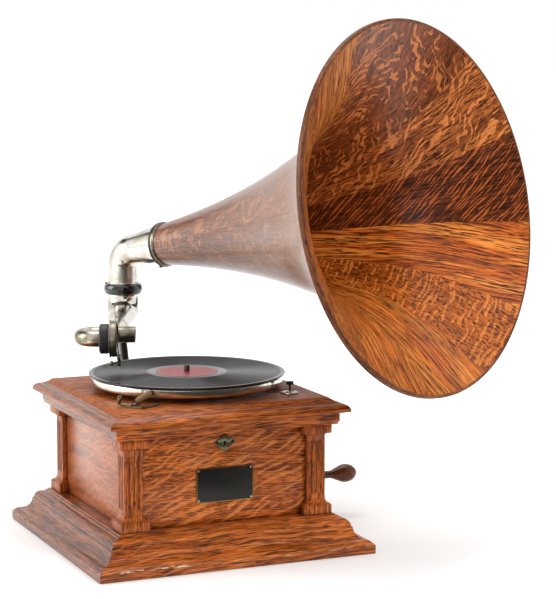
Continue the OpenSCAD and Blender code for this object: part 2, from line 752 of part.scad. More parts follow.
// Turntable
record_hole_r = spindle_low_r + 0.05;
module platter() {
  color("silver") rotate_extrude($fn = 128) polygon([[spindle_r, platter_z], [11, platter_z],
    [11, felt_z - 1.8], [platter_r - 4.1, felt_z - 1.8], [platter_r - 4.1, platter_z],
    [platter_r - 2.5, platter_z], [platter_r, felt_z - 1.4], [platter_r - 0.4, felt_z - 0.4],
    [platter_r - 1.4, felt_z], [spindle_r, felt_z]]);
}
module platter_felt() {
  color("#2f3a2c") translate([0, 0, felt_z]) tube(platter_r - 1.5, spindle_low_r, felt_t, $fn = 128);
}
module record() {
  color("#262626") translate([0, 0, record_z]) rotate_extrude($fn = 128) polygon([[record_hole_r, 0],
    [record_r - 0.7, 0], [record_r, record_t / 2], [record_r - 0.7, record_t], [record_hole_r, record_t]]);
}
module record_label() {
  color("#a8262a") translate([0, 0, record_top]) tube(label_r, record_hole_r, 0.12);
}
spindle_low_z = plate_low_z + plate_t - 2;
module spindle() {
  color("#c9c9c4") {
    translate([0, 0, inter_z - 2]) rotate([0, 0, gear_face(0, 0, inter_x, inter_y, pinion_n, 180)])
      spur(pinion_n, wheel_t + 4);
    rotate_extrude() polygon(concat(
      [[0, spindle_low_z + run], [spindle_r, spindle_low_z + run], [spindle_r, platter_z - 2.5]],
      [[spindle_hub_r, platter_z - 2.5], [spindle_hub_r, platter_z], [spindle_r, platter_z]],
      [[spindle_r, felt_z]],
      [[spindle_low_r, felt_z], [spindle_low_r, record_top + 0.2], [spindle_tip_r, record_top + 0.2]],
      oval(0, spindle_top - 0.8, spindle_tip_r, 0.8, 0, 90, 5)));
  }
}
module spindle_wheel() {
  color("#9a6a3a") translate([0, 0, gov_z]) difference() {
    union() {
      rotate([0, 0, 180 / gov_n - 90]) helical(gov_n, gov_m, gov_lead_a, gov_t, 3);
      cylinder(r = 9, h = 12, center = true);
    }
    cylinder(r = spindle_r, h = 14, center = true);
  }
}
// Turn of a gear at a that puts a tooth, or with half 180 a gap, towards b
function gear_face(ax, ay, bx, by, n, half) = atan2(by - ay, bx - ax) + half / n;

// Motor frame
module plate(x, y) {
  translate([x[0], y[0], 0]) cube([x[1] - x[0], y[1] - y[0], plate_t]);
}
rocker_arm_t = 3;
lug_y = [-70, -47];
module motor_top_plate() {
  color("#3a3f3c") difference() {
    union() {
      translate([0, 0, plate_top_z]) plate(motor_x, motor_y);
      for (y = lug_y) translate([rocker_x - 5, y, rocker_z - 5]) cube([10, 5, plate_top_z - rocker_z + 6]);
    }
    translate([0, 0, plate_top_z - 1]) cylinder(r = spindle_r + run, h = 9);
    translate([barrel_x, barrel_y, plate_top_z - 1]) cylinder(r = arbor_r + run, h = 9);
    translate([inter_x, inter_y, plate_top_z - 1]) cylinder(r = inter_r + run, h = 9);
    for (p = motor_bolt_pos) translate([p[0], p[1], plate_top_z - 1]) cylinder(r = bolt_r, h = 9);
    translate([rocker_x, lug_y[0] - 1, rocker_z]) rotate([-90, 0, 0]) cylinder(r = rocker_r + run, h = 32);
  }
}
block_x = [barrel_x - 16, barrel_x + 14];
block_w = 4;
block_half_w = 7;
module motor_low_plate() {
  color("#3a3f3c") difference() {
    union() {
      translate([0, 0, plate_low_z]) plate(motor_x, low_y);
      for (x = block_x) translate([x, crank_y - block_half_w, plate_low_z])
        cube([block_w, 2 * block_half_w, crank_z + block_half_w - plate_low_z]);
    }
    translate([0, 0, spindle_low_z]) cylinder(r = spindle_r + run, h = 9);
    translate([barrel_x, barrel_y, plate_low_z - 1]) cylinder(r = arbor_r + run, h = 9);
    translate([inter_x, inter_y, plate_low_z - 1]) cylinder(r = inter_r + run, h = 9);
    along_x(block_x[0] - 1, crank_y, crank_z)
      cylinder(r = crank_r + run, h = block_x[1] - block_x[0] + block_w + 2);
  }
}
module motor_pillars() {
  color("#8f9390") for (p = pillar_pos) translate([p[0], p[1], plate_low_z + plate_t])
    cylinder(r = pillar_r, h = plate_gap);
}
bolt_head_r = 4;
bolt_head_h = 2.5;
bolt_pad_r = 5;
bolt_bite = 8;
module motor_bolts() {
  color("#8f9390") for (p = motor_bolt_pos) translate([p[0], p[1], 0]) {
    translate([0, 0, plate_top_z - bolt_head_h]) cylinder(r = bolt_head_r, h = bolt_head_h);
    translate([0, 0, plate_top_z]) cylinder(r = bolt_r, h = board_z + bolt_bite - plate_top_z);
    translate([0, 0, motor_top]) tube(bolt_pad_r, bolt_r, board_z - motor_top);
  }
}

// Spring barrel, its arbor and the wheels
barrel_wall = 1.5;
module spring_barrel() {
  color("#b9963f") translate([barrel_x, barrel_y, 0]) {
    translate([0, 0, barrel_z]) rotate_extrude() polygon([[arbor_r + run, 0], [barrel_r, 0],
      [barrel_r, barrel_h], [barrel_r - barrel_wall, barrel_h], [barrel_r - barrel_wall, barrel_wall],
      [arbor_r + run, barrel_wall]]);
    translate([0, 0, great_z]) difference() {
      rotate([0, 0, gear_face(barrel_x, barrel_y, inter_x, inter_y, great_n, 0)]) spur(great_n, wheel_t);
      translate([0, 0, -1]) cylinder(r = arbor_r + run, h = wheel_t + 2);
    }
  }
}
hub_r = 8.5;
strip_t = 0.8;
spiral_n = 18;
function spiral_r(i) = hub_r + 1.2 + strip_t / 2
  + (barrel_r - barrel_wall - 1 - strip_t / 2 - hub_r - 1.2 - strip_t / 2) * i / (spring_turns * spiral_n);
function spiral(side) = [for (i = [0:spring_turns * spiral_n])
  polar(spiral_r(i) + side * strip_t / 2, i * 360 / spiral_n)];
module mainspring() {
  outer = spiral(1);
  inner = spiral(-1);
  color("#5a6068") translate([barrel_x, barrel_y, barrel_z + barrel_wall + 0.5])
    linear_extrude(barrel_h - barrel_wall - 1.5)
      polygon(concat(outer, [for (i = [len(inner) - 1:-1:0]) inner[i]]));
}
module barrel_arbor() {
  color("#c9c9c4") translate([barrel_x, barrel_y, 0]) {
    translate([0, 0, plate_low_z]) cylinder(r = arbor_r, h = motor_top - plate_low_z);
    translate([0, 0, barrel_z + barrel_wall + air]) cylinder(r = hub_r, h = barrel_h - barrel_wall - 2 * air);
    translate([0, 0, plate_low_z + plate_t + air])
      cylinder(r = arbor_r + 2, h = crank_z - wind_t / 2 - plate_low_z - plate_t - air);
  }
}
module winding_wheel() {
  color("#b9963f") translate([barrel_x, barrel_y, crank_z]) difference() {
    rotate([0, 0, 180 / wind_n - 90]) helical(wind_n, wind_m, wind_lead_a, wind_t, 5);
    cylinder(r = arbor_r, h = wind_t + 2, center = true);
  }
}
module intermediate_wheel() {
  color("#b9963f") translate([inter_x, inter_y, inter_z]) difference() {
    rotate([0, 0, gear_face(inter_x, inter_y, 0, 0, inter_n, 0)]) spur(inter_n, wheel_t);
    translate([0, 0, -1]) cylinder(r = inter_r, h = wheel_t + 2);
  }
  color("#c9c9c4") translate([inter_x, inter_y, 0]) {
    translate([0, 0, plate_low_z + 0.5]) cylinder(r = inter_r, h = motor_top - plate_low_z - 1);
    translate([0, 0, plate_low_z + plate_t + air]) cylinder(r = inter_r + 1.5, h = 4);
    translate([0, 0, great_z - 2])
      rotate([0, 0, gear_face(inter_x, inter_y, barrel_x, barrel_y, pinion_n, 180)])
        spur(pinion_n, inter_z - great_z + 2);
  }
}

// Governor along X in front of the spindle
gov_worm_l = 14;
fixed_x = 22;
sleeve_l = 22;
sleeve_x = disc_x - sleeve_l;
gov_ball_r = 4.5;
gov_bow = 10.5;
gov_brackets_x = [-gov_left, disc_x + gov_right];
module governor_shaft() {
  color("#c9c9c4") {
    along_x(gov_brackets_x[0] + 1, gov_y, gov_z)
      cylinder(r = gov_shaft_r, h = gov_brackets_x[1] - gov_brackets_x[0] + 3);
    along_x(0, gov_y, gov_z) rotate([0, 0, worm_face])
      helical(gov_starts, gov_m, 90 - gov_lead_a, gov_worm_l, 28);
    along_x(fixed_x, gov_y, gov_z) cylinder(r = 6, h = 4);
  }
}
worm_face = 90;
// One bowed leaf spring, from the fixed collar to the sleeve, as a thin strip
function leaf_x(t) = mix(fixed_x + 2, sleeve_x + 4, t);
function leaf_r(t) = 6.1 + (gov_bow - 6.1) * (1 - cos(360 * t)) / 2;
function mix(a, b, t) = a + (b - a) * t;
module leaf() {
  rotate([90, 0, 0]) linear_extrude(4, center = true)
    polygon(concat([for (i = [0:12]) [leaf_x(i / 12), leaf_r(i / 12)]],
      [for (i = [12:-1:0]) [leaf_x(i / 12), leaf_r(i / 12) + 0.4]]));
}
module governor_weights() {
  color("#7d7f82") translate([0, gov_y, gov_z]) for (a = [0, 120, 240]) rotate([a, 0, 0]) {
    leaf();
    difference() {
      translate([leaf_x(0.5), 0, gov_bow + 0.4 + gov_ball_r - 1]) sphere(gov_ball_r);
      translate([leaf_x(0) - 1, -8, 0]) cube([leaf_x(1) - leaf_x(0) + 2, 16, gov_bow + 0.4]);
    }
  }
}
disc_r = 14;
disc_t = 3;
module governor_disc() {
  color("#c9c9c4") along_x(0, gov_y, gov_z) difference() {
    union() {
      translate([0, 0, sleeve_x]) cylinder(r = 6, h = 4.5);
      translate([0, 0, sleeve_x]) cylinder(r = 4, h = disc_x - sleeve_x + 1);
      translate([0, 0, disc_x]) cylinder(r = disc_r, h = disc_t);
    }
    translate([0, 0, sleeve_x - 1]) cylinder(r = gov_shaft_r, h = 40);
  }
}
gov_block = 5;
module governor_brackets() {
  color("#3a3f3c") for (x = gov_brackets_x) difference() {
    translate([x, gov_y - gov_block, gov_z - gov_block])
      cube([gov_block, 2 * gov_block, plate_top_z - gov_z + gov_block]);
    along_x(x - 1, gov_y, gov_z) cylinder(r = gov_shaft_r + run, h = gov_block + 2);
  }
}
module friction_lever() {
  color("#b9963f") {
    translate([rocker_x, -93, rocker_z]) rotate([-90, 0, 0]) cylinder(r = rocker_r, h = gov_y - 6 + 93);
    translate([rocker_x, -92, rocker_z - rocker_arm_t / 2]) cube([speed_x - rocker_x + 4, 6, rocker_arm_t]);
    translate([rocker_x - 1.5, pad_y - 2, gov_z - 3]) cube([3, 4, rocker_z - gov_z + 3]);
  }
}
module friction_pad() {
  color("#6b4a2c") along_x(disc_x + disc_t + air, pad_y, gov_z)
    cylinder(r = 2.8, h = rocker_x - 1.5 - disc_x - disc_t - air);
}

// Crank
crank_lean = 9;
knob_y = crank_y + crank_throw * sin(crank_lean);
knob_z = crank_z - crank_throw * cos(crank_lean);
arm_t = 6;
wind_worm_l = 15;
crank_bar_w = 9;
crank_eye_r = 8;
crank_tip_r = 6.5;
crank_nut_r = 6;
crank_nut_h = 3;
stud_r = 3;
module crank_bush() {
  color("silver") along_x(0, crank_y, crank_z) rotate_extrude() polygon([[crank_r + run, panel_in],
    [crank_bush_r, panel_in], [crank_bush_r, panel_out], [12, panel_out], [12, panel_out + 1.2],
    [9, panel_out + 2.4], [crank_r + run, panel_out + 2.4]]);
}
module crank_shaft() {
  color("#b8b4a8") {
    along_x(block_x[0] + 0.5, crank_y, crank_z) cylinder(r = crank_r, h = crank_arm_x - block_x[0] - 0.5);
    along_x(barrel_x, crank_y, crank_z) rotate([0, 0, wind_face])
      helical(wind_starts, wind_m, 90 - wind_lead_a, wind_worm_l, 28);
    along_x(block_x[1] + block_w + air, crank_y, crank_z) cylinder(r = crank_r + 2.5, h = 4);
  }
}
wind_face = 90;
module crank_arm() {
  color("#b8b4a8") {
    translate([crank_arm_x, 0, 0]) rotate([90, 0, 90]) linear_extrude(arm_t) {
      bar2d([crank_y, crank_z], [knob_y, knob_z], crank_bar_w);
      translate([crank_y, crank_z]) circle(crank_eye_r);
      translate([knob_y, knob_z]) circle(crank_tip_r);
    }
    along_x(crank_arm_x + arm_t, crank_y, crank_z)
      cylinder(r1 = crank_nut_r, r2 = crank_nut_r - 1.5, h = crank_nut_h);
    along_x(crank_arm_x + arm_t, knob_y, knob_z) cylinder(r = stud_r, h = knob_l - 8);
  }
}
knob_t = [0, 0.1, 0.33, 0.5, 0.67, 0.84, 0.95, 1];
knob_k = [0.55, 0.5, 0.42, 0.71, 1, 0.93, 0.6, 0.28];
module crank_knob() {
  color("#6e3b1e") along_x(crank_arm_x + arm_t + air, knob_y, knob_z) difference() {
    rotate_extrude() polygon(concat([[0, 0]],
      [for (i = [0:24]) [knob_r * smooth(knob_t, knob_k, i / 24), knob_l * i / 24]], [[0, knob_l + 0.6]]));
    translate([0, 0, -1]) cylinder(r = stud_r + run, h = knob_l - 8 + 1);
  }
}

// Bracket behind the cabinet: wall plate, swept arm and ring
bracket_arm_w = 11;
sweep_low = [[panel_out + 2, 118], [190, 118], [232, 150], [246, 200]];
sweep_high = [[246, 200], [256, 240], [pivot_y + 41, 250], [pivot_y + 34.4, ring_z - 5]];
function sweep(i) = i <= 12 ? bezier(sweep_low, i / 12) : bezier(sweep_high, (i - 12) / 12);
function sweep_half(i) = 12 - 3.4 * i / 24;
function sweep_edge(i, side) =
  let(d = unit(sweep(min(i + 1, 24)) - sweep(max(i - 1, 0)))) sweep(i) + side * sweep_half(i) * [-d[1], d[0]];
module bracket() {
  color("#15161a") difference() {
    union() {
      translate([-bracket_w / 2, panel_out, bracket_low])
        cube([bracket_w, bracket_t, bracket_high - bracket_low]);
      translate([-bracket_arm_w / 2, 0, 0]) rotate([90, 0, 90]) linear_extrude(bracket_arm_w)
        polygon(concat([for (i = [0:24]) sweep_edge(i, 1)], [for (i = [24:-1:0]) sweep_edge(i, -1)]));
      translate([-bracket_arm_w / 2, pivot_y + ring_r - 4, ring_low + 1.5])
        cube([bracket_arm_w, 20, ring_h - 3]);
      translate([0, pivot_y, 0]) rotate_extrude() polygon(concat([[ring_bore, ring_low]],
        oval(ring_r - 4, ring_z, 4, ring_h / 2, -90, 90, 10), [[ring_bore, ring_low + ring_h]]));
    }
    translate([0, pivot_y, ring_low - 1]) cylinder(r = ring_bore, h = ring_h + 2);
    bracket_holes() cylinder(r = bracket_screw_r, h = 30, center = true);
    ring_screw_at() {
      cylinder(r = ring_head_r, h = 8);
      translate([0, 0, -6]) cylinder(r = pin_r, h = 8);
    }
    grip_screw_at() translate([0, 0, -1]) cylinder(r = grip_r, h = 12);
  }
}
grip_r = 1.5;
grip_z = ring_z - 3.3;
ring_head_r = 1.6;
module ring_screw_at() {
  translate([0, pivot_y, ring_low + ring_h - 0.5]) rotate([0, 0, 156])
    translate([ring_r - 2.8, 0, 0]) children();
}
module grip_screw_at() {
  translate([0, pivot_y, grip_z]) rotate([0, 0, 40]) along_x(neck_r - 0.7, 0, 0) children();
}
module bracket_screws() {
  color("#24262b") {
    bracket_holes() screw(4, 2.4, bracket_screw_r, 14);
    ring_screw_at() screw(ring_head_r, 1.6, pin_r, 5);
    grip_screw_at() {
      cylinder(r = grip_r, h = ring_r - neck_r + 1);
      translate([0, 0, ring_r - neck_r + 1]) cylinder(r = 2.6, h = 2);
    }
  }
}

// Tone arm: vertical neck in the ring, bend, tapered tube and cross tube
arm_top = ring_z - 0.4;
bend_z = arm_z + arm_bend;
module tone_arm() {
  color("#d8d4c8") at_arm() difference() {
    union() {
      translate([0, 0, bend_z]) cylinder(r = neck_r, h = arm_top - bend_z);
      translate([0, 0, bend_z]) cylinder(r = arm_big_r, h = ring_low - air - bend_z);
      translate([arm_bend, 0, bend_z]) bend(arm_bend, arm_big_r, 180, 90);
      along_x(arm_bend, 0, arm_z) cylinder(r1 = arm_big_r, r2 = arm_small_r, h = arm_l - arm_bend - 3);
      along_b(arm_l, cross_start, arm_z) cylinder(r = arm_small_r, h = cross_l - cross_start);
    }
    translate([0, 0, bend_z]) cylinder(r = neck_r - neck_wall, h = 20);
    translate([arm_bend, 0, bend_z]) bend(arm_bend, neck_r - neck_wall, 180, 90);
    along_x(arm_bend, 0, arm_z)
      cylinder(r1 = neck_r - neck_wall, r2 = arm_small_r - 2.5, h = arm_l - arm_bend - 3);
    along_b(arm_l, cross_start - 1, arm_z) cylinder(r = bush_r + run, h = cross_l - cross_start - 5);
    translate([0, 0, grip_z - grip_r - air]) tube(neck_r + 1, neck_r - 1, 2 * (grip_r + air));
  }
}

// Gooseneck: two legs and a return bend, with a bush that turns in the cross tube
u_r = neck_gap / 2;
neck_bore = 6.6;
flange_b = -18;
module gooseneck() {
  color("#cfc8b4") at_arm() difference() {
    union() {
      along_b(arm_l, u_b, arm_z) cylinder(r = arm_small_r, h = cross_start - air - u_b);
      along_b(arm_l, u_b, arm_z) cylinder(r = bush_r, h = 18 - u_b);
      along_b(box_a, u_b, arm_z) cylinder(r = arm_small_r, h = flange_b - u_b);
      along_b(box_a, u_b, arm_z) cylinder(r = bush_r, h = box_b - 1 - u_b);
      translate([arm_l + u_r, u_b, arm_z]) rotate([0, 0, 180]) rotate_extrude(angle = 180, $fn = 96)
        translate([u_r, 0]) circle(arm_small_r, $fn = 48);
    }
    for (a = [arm_l, box_a]) along_b(a, u_b, arm_z) cylinder(r = neck_bore, h = 60);
    translate([arm_l + u_r, u_b, arm_z]) rotate([0, 0, 180]) rotate_extrude(angle = 180, $fn = 96)
      translate([u_r, 0]) circle(neck_bore, $fn = 48);
  }
}
module rubber_flange() {
  color("#2b2b2d") at_arm() along_b(box_a, flange_b, arm_z) rotate_extrude() polygon([[bush_r, 0],
    [flange_r - 1.6, 0], [flange_r, 1.4], [flange_r, 10], [flange_r - 0.8, 10.8],
    [flange_r - 0.8, box_b - flange_b], [bush_r, box_b - flange_b]]);
}
cavity_r = box_r - 4.8;
lug_x = 5.8;
axle_r = 1;
module sound_box() {
  color("#8d877a") at_arm() difference() {
    union() {
      along_b(box_a, box_b, arm_z) rotate_extrude() polygon([[7, 0], [box_r, 0], [box_r, 1.4],
        [box_r - 0.8, 1.6], [box_r - 0.8, box_t - 1.5], [box_r - 2, box_t], [cavity_r, box_t],
        [cavity_r, 2], [7, 2]]);
      for (s = [-1, 1]) translate([bar_a + s * lug_x - 1, box_b + box_t - 0.5, bar_z - 2.1])
        cube([2, 4.6, 5]);
    }
    translate([bar_a - 8, bar_b, bar_z]) rotate([0, 90, 0]) cylinder(r = axle_r + run, h = 16);
  }
}
mica_b = 6.6;
module diaphragm() {
  color("#b8a878") at_arm() along_b(box_a, box_b + mica_b, arm_z) cylinder(r = cavity_r, h = 0.35);
}
chuck_r = 2.3;
chuck_l = 12;
foot_b = box_b + mica_b + 0.35 + air;
module at_chuck(l = 0) {
  at_arm() translate([bar_a, bar_b, bar_z]) rotate([0, 180 - needle_lean, 0]) translate([0, 0, l]) children();
}
module stylus_bar() {
  rise = arm_z - bar_z;
  color("#4a463c") difference() {
    union() {
      at_arm() translate([bar_a - 6.4, bar_b, bar_z]) rotate([0, 90, 0]) cylinder(r = axle_r, h = 12.8);
      at_arm() translate([bar_a - 4, bar_b, bar_z]) rotate([0, 90, 0]) cylinder(r = 2, h = 8);
      at_arm() translate([bar_a, bar_b, bar_z])
        rotate([atan((bar_b - foot_b - 1.2) / rise), -atan((bar_a - box_a) / rise), 0])
          translate([-1, -0.6, 0]) cube([2, 1.2, rise]);
      at_arm() along_b(box_a, foot_b, arm_z) cylinder(r = 2, h = 2);
      at_chuck() cylinder(r = chuck_r, h = chuck_l);
    }
    at_chuck(5) cylinder(r = needle_r, h = chuck_l);
    at_chuck(9) rotate([90, 0, 0]) cylinder(r = clamp_r + run, h = 6);
  }
}
module needle() {
  color("#d8d8d8") {
    at_chuck(5) cylinder(r = needle_r, h = needle_l - 9);
    at_chuck(needle_l - 4) cylinder(r1 = needle_r, r2 = 0.12, h = 4);
  }
}
clamp_r = 0.9;
module needle_screw() {
  color("#8d877a") at_chuck(9) rotate([90, 0, 0]) {
    translate([0, 0, needle_r + 0.2]) cylinder(r = clamp_r, h = 8);
    translate([0, 0, needle_r + 6.5]) rotate_extrude() polygon([[0, 0], [2.2, 0], [3, 0.8], [3, 3.4],
      [2.4, 4.2], [0, 4.2]]);
  }
}

// Horn: elbow, ferrule, staves and rim band
elbow_wall = 2;
elbow_low = ring_z - 0.1;
flange_s = collar_s - 2.4;
collar_r = 30.3;
lap = 0.5;
step_r = 0.12;
module elbow() {
  flange_z = ring_low + ring_h + air - horn_z;
  low = elbow_low - horn_z;
  color("#dcd8cc") difference() {
    union() {
      at_horn() {
        translate([0, 0, low]) cylinder(r = elbow_r, h = -bend_s - low - lap);
        translate([0, 0, flange_z]) cylinder(r = elbow_r + 2, h = 2);
        translate([0, 0, flange_z + 1]) cylinder(r = elbow_r + step_r, h = lap - bend_s - flange_z - 1);
        translate([elbow_bend, 0, -bend_s]) bend(elbow_bend, elbow_r, 180 - elbow_turn, elbow_turn);
      }
      at_axis(bend_s - lap) cylinder(r1 = elbow_r + step_r, r2 = throat_r, h = flange_s - bend_s + 2 * lap);
      at_axis(flange_s) cylinder(r = collar_r, h = collar_s - flange_s);
      at_axis(collar_s - 12) rotate([0, 90, 0]) cylinder(r = 2.6, h = collar_r);
    }
    at_horn() {
      translate([0, 0, low - 1]) cylinder(r = elbow_r - elbow_wall + step_r, h = 1 + lap - bend_s - low);
      translate([elbow_bend, 0, -bend_s])
        bend(elbow_bend, elbow_r - elbow_wall, 180 - elbow_turn, elbow_turn);
    }
    at_axis(bend_s - lap)
      cylinder(r1 = elbow_r - elbow_wall + step_r, r2 = throat_r - horn_t, h = collar_s - bend_s + 2 * lap);
  }
}
module horn_collar() {
  color("#dcd8cc") at_axis(collar_s) tube(collar_r - 0.4, throat_r - horn_t, throat_s - collar_s);
}
module horn_staves() {
  color("#a85a24") at_axis() for (i = [0:gore_n - 1]) rotate([0, 0, gore_start + i * gore_step])
    rotate_extrude(angle = gore_step - glue, $fn = 96) polygon(horn_wall());
}
module horn_rim() {
  front = throat_s + horn_l;
  back = front - rim_w;
  end = horn_point(1);
  last = horn_point(1 - 1 / profile_n);
  start = end + (last - end) * (end[1] - back) / (end[1] - last[1]);
  color("#7a3f18") at_axis() rotate([0, 0, gore_start]) rotate_extrude($fn = 96) polygon(
    [start, end, horn_in(1), [mouth_r - 0.9, front], [mouth_r, front - 0.9], [mouth_r, back + 0.9],
    [mouth_r - 0.9, back]]);
}

plinth_mouldings();
bottom_board();
corner_posts();
front_panel();
back_panel();
left_panel();
right_panel();
lid_mouldings();
motor_board();
lid_hinges();
name_plate();
lock_plate();
lock_case();
lock_bolt();
lock_strike();
small_screws();
speed_flange();
speed_screw();
brake_plate();
brake_lever();
brake_shoe();
platter();
platter_felt();
record();
record_label();
spindle();
spindle_wheel();
motor_top_plate();
motor_low_plate();
motor_pillars();
motor_bolts();
spring_barrel();
mainspring();
barrel_arbor();
winding_wheel();
intermediate_wheel();
governor_shaft();
governor_weights();
governor_disc();
governor_brackets();
friction_lever();
friction_pad();
crank_bush();
crank_shaft();
crank_arm();
crank_knob();
bracket();
bracket_screws();
tone_arm();
gooseneck();
rubber_flange();
sound_box();
diaphragm();
stylus_bar();
needle();
needle_screw();
elbow();
horn_collar();
horn_staves();
horn_rim();
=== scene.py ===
# Table gramophone with a wooden horn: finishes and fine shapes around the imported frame.
# Shapes are worked out in millimetres and degrees, and makePiece turns them into metres.
import math

import bmesh
import bpy
import numpy as np
from mathutils import Matrix, Vector


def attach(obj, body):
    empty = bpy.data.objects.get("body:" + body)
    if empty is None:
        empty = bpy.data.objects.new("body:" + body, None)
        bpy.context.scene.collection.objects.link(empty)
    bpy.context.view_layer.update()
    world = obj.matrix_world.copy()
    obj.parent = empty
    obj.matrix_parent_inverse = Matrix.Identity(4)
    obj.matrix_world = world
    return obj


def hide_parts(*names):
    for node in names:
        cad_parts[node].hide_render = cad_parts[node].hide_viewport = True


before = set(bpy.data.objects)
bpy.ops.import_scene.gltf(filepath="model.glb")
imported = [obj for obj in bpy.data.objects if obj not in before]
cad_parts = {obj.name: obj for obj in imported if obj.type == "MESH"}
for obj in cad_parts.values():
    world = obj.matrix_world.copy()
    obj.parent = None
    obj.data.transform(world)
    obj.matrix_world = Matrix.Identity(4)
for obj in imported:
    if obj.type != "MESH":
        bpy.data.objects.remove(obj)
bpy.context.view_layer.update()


# Frames of reference
def turned(axis, degrees):
    return Matrix.Rotation(math.radians(degrees), 4, axis)


def moved(x, y, z):
    return Matrix.Translation((x, y, z))


# Places that several pieces share: the tone arm and the horn turn about one upright axis behind the case
case = {"out": 126.5, "deck": 193.0}
arm = {"pivotY": 241.6, "turn": 22.9, "height": 253.5, "reach": 170, "gap": 36, "bend": 29.5, "bigR": 21.5,
       "smallR": 10.5, "neckR": 19.52, "top": 291.9, "shoulder": 284.75, "cross": (-16, 26)}
horn = {"turn": 26.7, "tilt": 9.8, "height": 344.7, "throat": 84.5, "length": 429.4, "throatR": 27.9,
        "mouthR": 231.7, "lipR": 2.2, "lipS": 3, "wall": 3.4, "staves": 12, "start": 21.6}
armFrame = moved(0, arm["pivotY"], 0) @ turned("Z", -90 - arm["turn"])
hornFrame = moved(0, arm["pivotY"], horn["height"]) @ turned("Z", horn["turn"] - 90)
axisFrame = hornFrame @ turned("Y", 90 - horn["tilt"])


# A shape is its points, its faces, and where each point lies in the grain of its board
def shape(points, faces, grain=None):
    grain = grain or [(0, 0, 0)] * len(points)
    return {"points": [Vector(p) for p in points], "faces": faces, "grain": grain}


def place(part, matrix):
    return shape([matrix @ p for p in part["points"]], part["faces"], part["grain"])


def join(*parts):
    points, faces, grain = [], [], []
    for part in parts:
        faces += [[i + len(points) for i in face] for face in part["faces"]]
        points += part["points"]
        grain += part["grain"]
    return shape(points, faces, grain)


def arc(cx, cy, rx, a0, a1, steps=8, ry=None):
    angles = [math.radians(a0 + (a1 - a0) * i / steps) for i in range(steps + 1)]
    return [(cx + rx * math.cos(a), cy + (ry or rx) * math.sin(a)) for a in angles]


# Rounds every corner of a closed outline that turns enough, and takes no more than a share of its sides
rounding = {"fromAngle": 25, "sideShare": 0.45, "shortestSide": 0.01}


def softened(outline, radius, steps=3):
    outline = [p for i, p in enumerate(outline)
               if (Vector(p) - Vector(outline[i - 1])).length > rounding["shortestSide"]]
    result = []
    for i, here in enumerate(outline):
        here, before, after = Vector(here), Vector(outline[i - 1]), Vector(outline[(i + 1) % len(outline)])
        inward, outward = before - here, after - here
        bend = math.pi - inward.angle(outward)
        if bend < math.radians(rounding["fromAngle"]):
            result.append(tuple(here))
            continue
        share = rounding["sideShare"]
        cut = min(radius * math.tan(bend / 2), share * inward.length, share * outward.length)
        start, end = here + inward.normalized() * cut, here + outward.normalized() * cut
        for k in range(steps + 1):
            t = k / steps
            result.append(tuple(start * (1 - t) ** 2 + here * 2 * t * (1 - t) + end * t ** 2))
    return result


def lengths(outline):
    total, result = 0, [0]
    for a, b in zip(outline, outline[1:]):
        total += (Vector(b) - Vector(a)).length
        result.append(total)
    return result


# Turns a profile of (radius, height) about Z; a closed profile is a ring
def lathe(profile, steps=96, closed=False, grainRound=False):
    along = lengths(profile)
    points, faces, grain = [], [], []
    rows = len(profile)
    for i in range(steps):
        a = 2 * math.pi * i / steps
        for (r, z), l in zip(profile, along):
            points.append((r * math.cos(a), r * math.sin(a), z))
            around = 2 * math.pi * r * abs(i / steps - 0.5)
            grain.append((around, l, 0) if grainRound else (z, around, r))
    for i in range(steps):
        a, b = i * rows, ((i + 1) % steps) * rows
        for j in range(rows if closed else rows - 1):
            k = (j + 1) % rows
            faces.append([a + j, b + j, b + k, a + k])
    return shape(points, faces, grain)


# A ring turned from a closed section, its corners rounded to edge
def spun(section, edge=0, steps=96):
    return lathe(softened(section, edge) if edge else section, steps, True)


# Skins a row of closed rings; the ends are capped, or the last ring meets the first
def loft(rings, looped=False):
    count, total = len(rings[0]), len(rings[0]) * len(rings)
    points = [p for ring in rings for p in ring]
    faces = []
    for r in range(len(rings) - (not looped)):
        for i in range(count):
            a, b = r * count + i, r * count + (i + 1) % count
            faces.append([a, b, (b + count) % total, (a + count) % total])
    if not looped:
        faces.append(list(range(count)))
        faces.append(list(range(total - count, total)))
    return shape(points, faces)


def slab(outline, z0, z1):
    return loft([[(x, y, z) for x, y in outline] for z in (z0, z1)])


def ringAt(radius, z, sides=48):
    return [(x, y, z) for x, y in arc(0, 0, radius, 0, 360 * (sides - 1) / sides, sides - 1)]


# A hollow round tube of changing radius along a path in the XZ plane
def tube(path, radii, sides=64, wall=1.8):
    outside, inside = [], []
    for i, (x, z) in enumerate(path):
        a, b = Vector(path[max(i - 1, 0)]), Vector(path[min(i + 1, len(path) - 1)])
        ahead = (b - a).normalized()
        for rings, radius in ((outside, radii[i]), (inside, radii[i] - wall)):
            rings.append([(x - ahead.y * u, v, z + ahead.x * u) for u, v, w in ringAt(radius, 0, sides)])
    return loft(outside + inside[::-1], True)


def roundedBox(width, height, radius, steps=5):
    w, h = width / 2 - radius, height / 2 - radius
    corners = [(w, h, 0), (-w, h, 90), (-w, -h, 180), (w, -h, 270)]
    return [p for x, y, a in corners for p in arc(x, y, radius, a, a + 90, steps)]


# Round screw head with a cut slot, standing on z = 0; heights and the flat top are shares of its size
screw = {"slotFloor": 0.45, "shoulder": 0.75, "flat": 0.8}


def screwHead(radius, height, turn=30, slot=0.5):
    floor = screw["slotFloor"] * height
    parts = [loft([ringAt(radius, 0, 28), ringAt(radius, floor, 28)])]
    for half in (0, 180):
        rings = []
        for r, z in ((radius, floor), (radius, screw["shoulder"] * height), (screw["flat"] * radius, height)):
            edge = math.degrees(math.asin(slot / 2 / r))
            rings.append([(x, y, z) for x, y in arc(0, 0, r, edge + half, 180 - edge + half, 12)])
        parts.append(loft(rings))
    return place(join(*parts), turned("Z", turn))


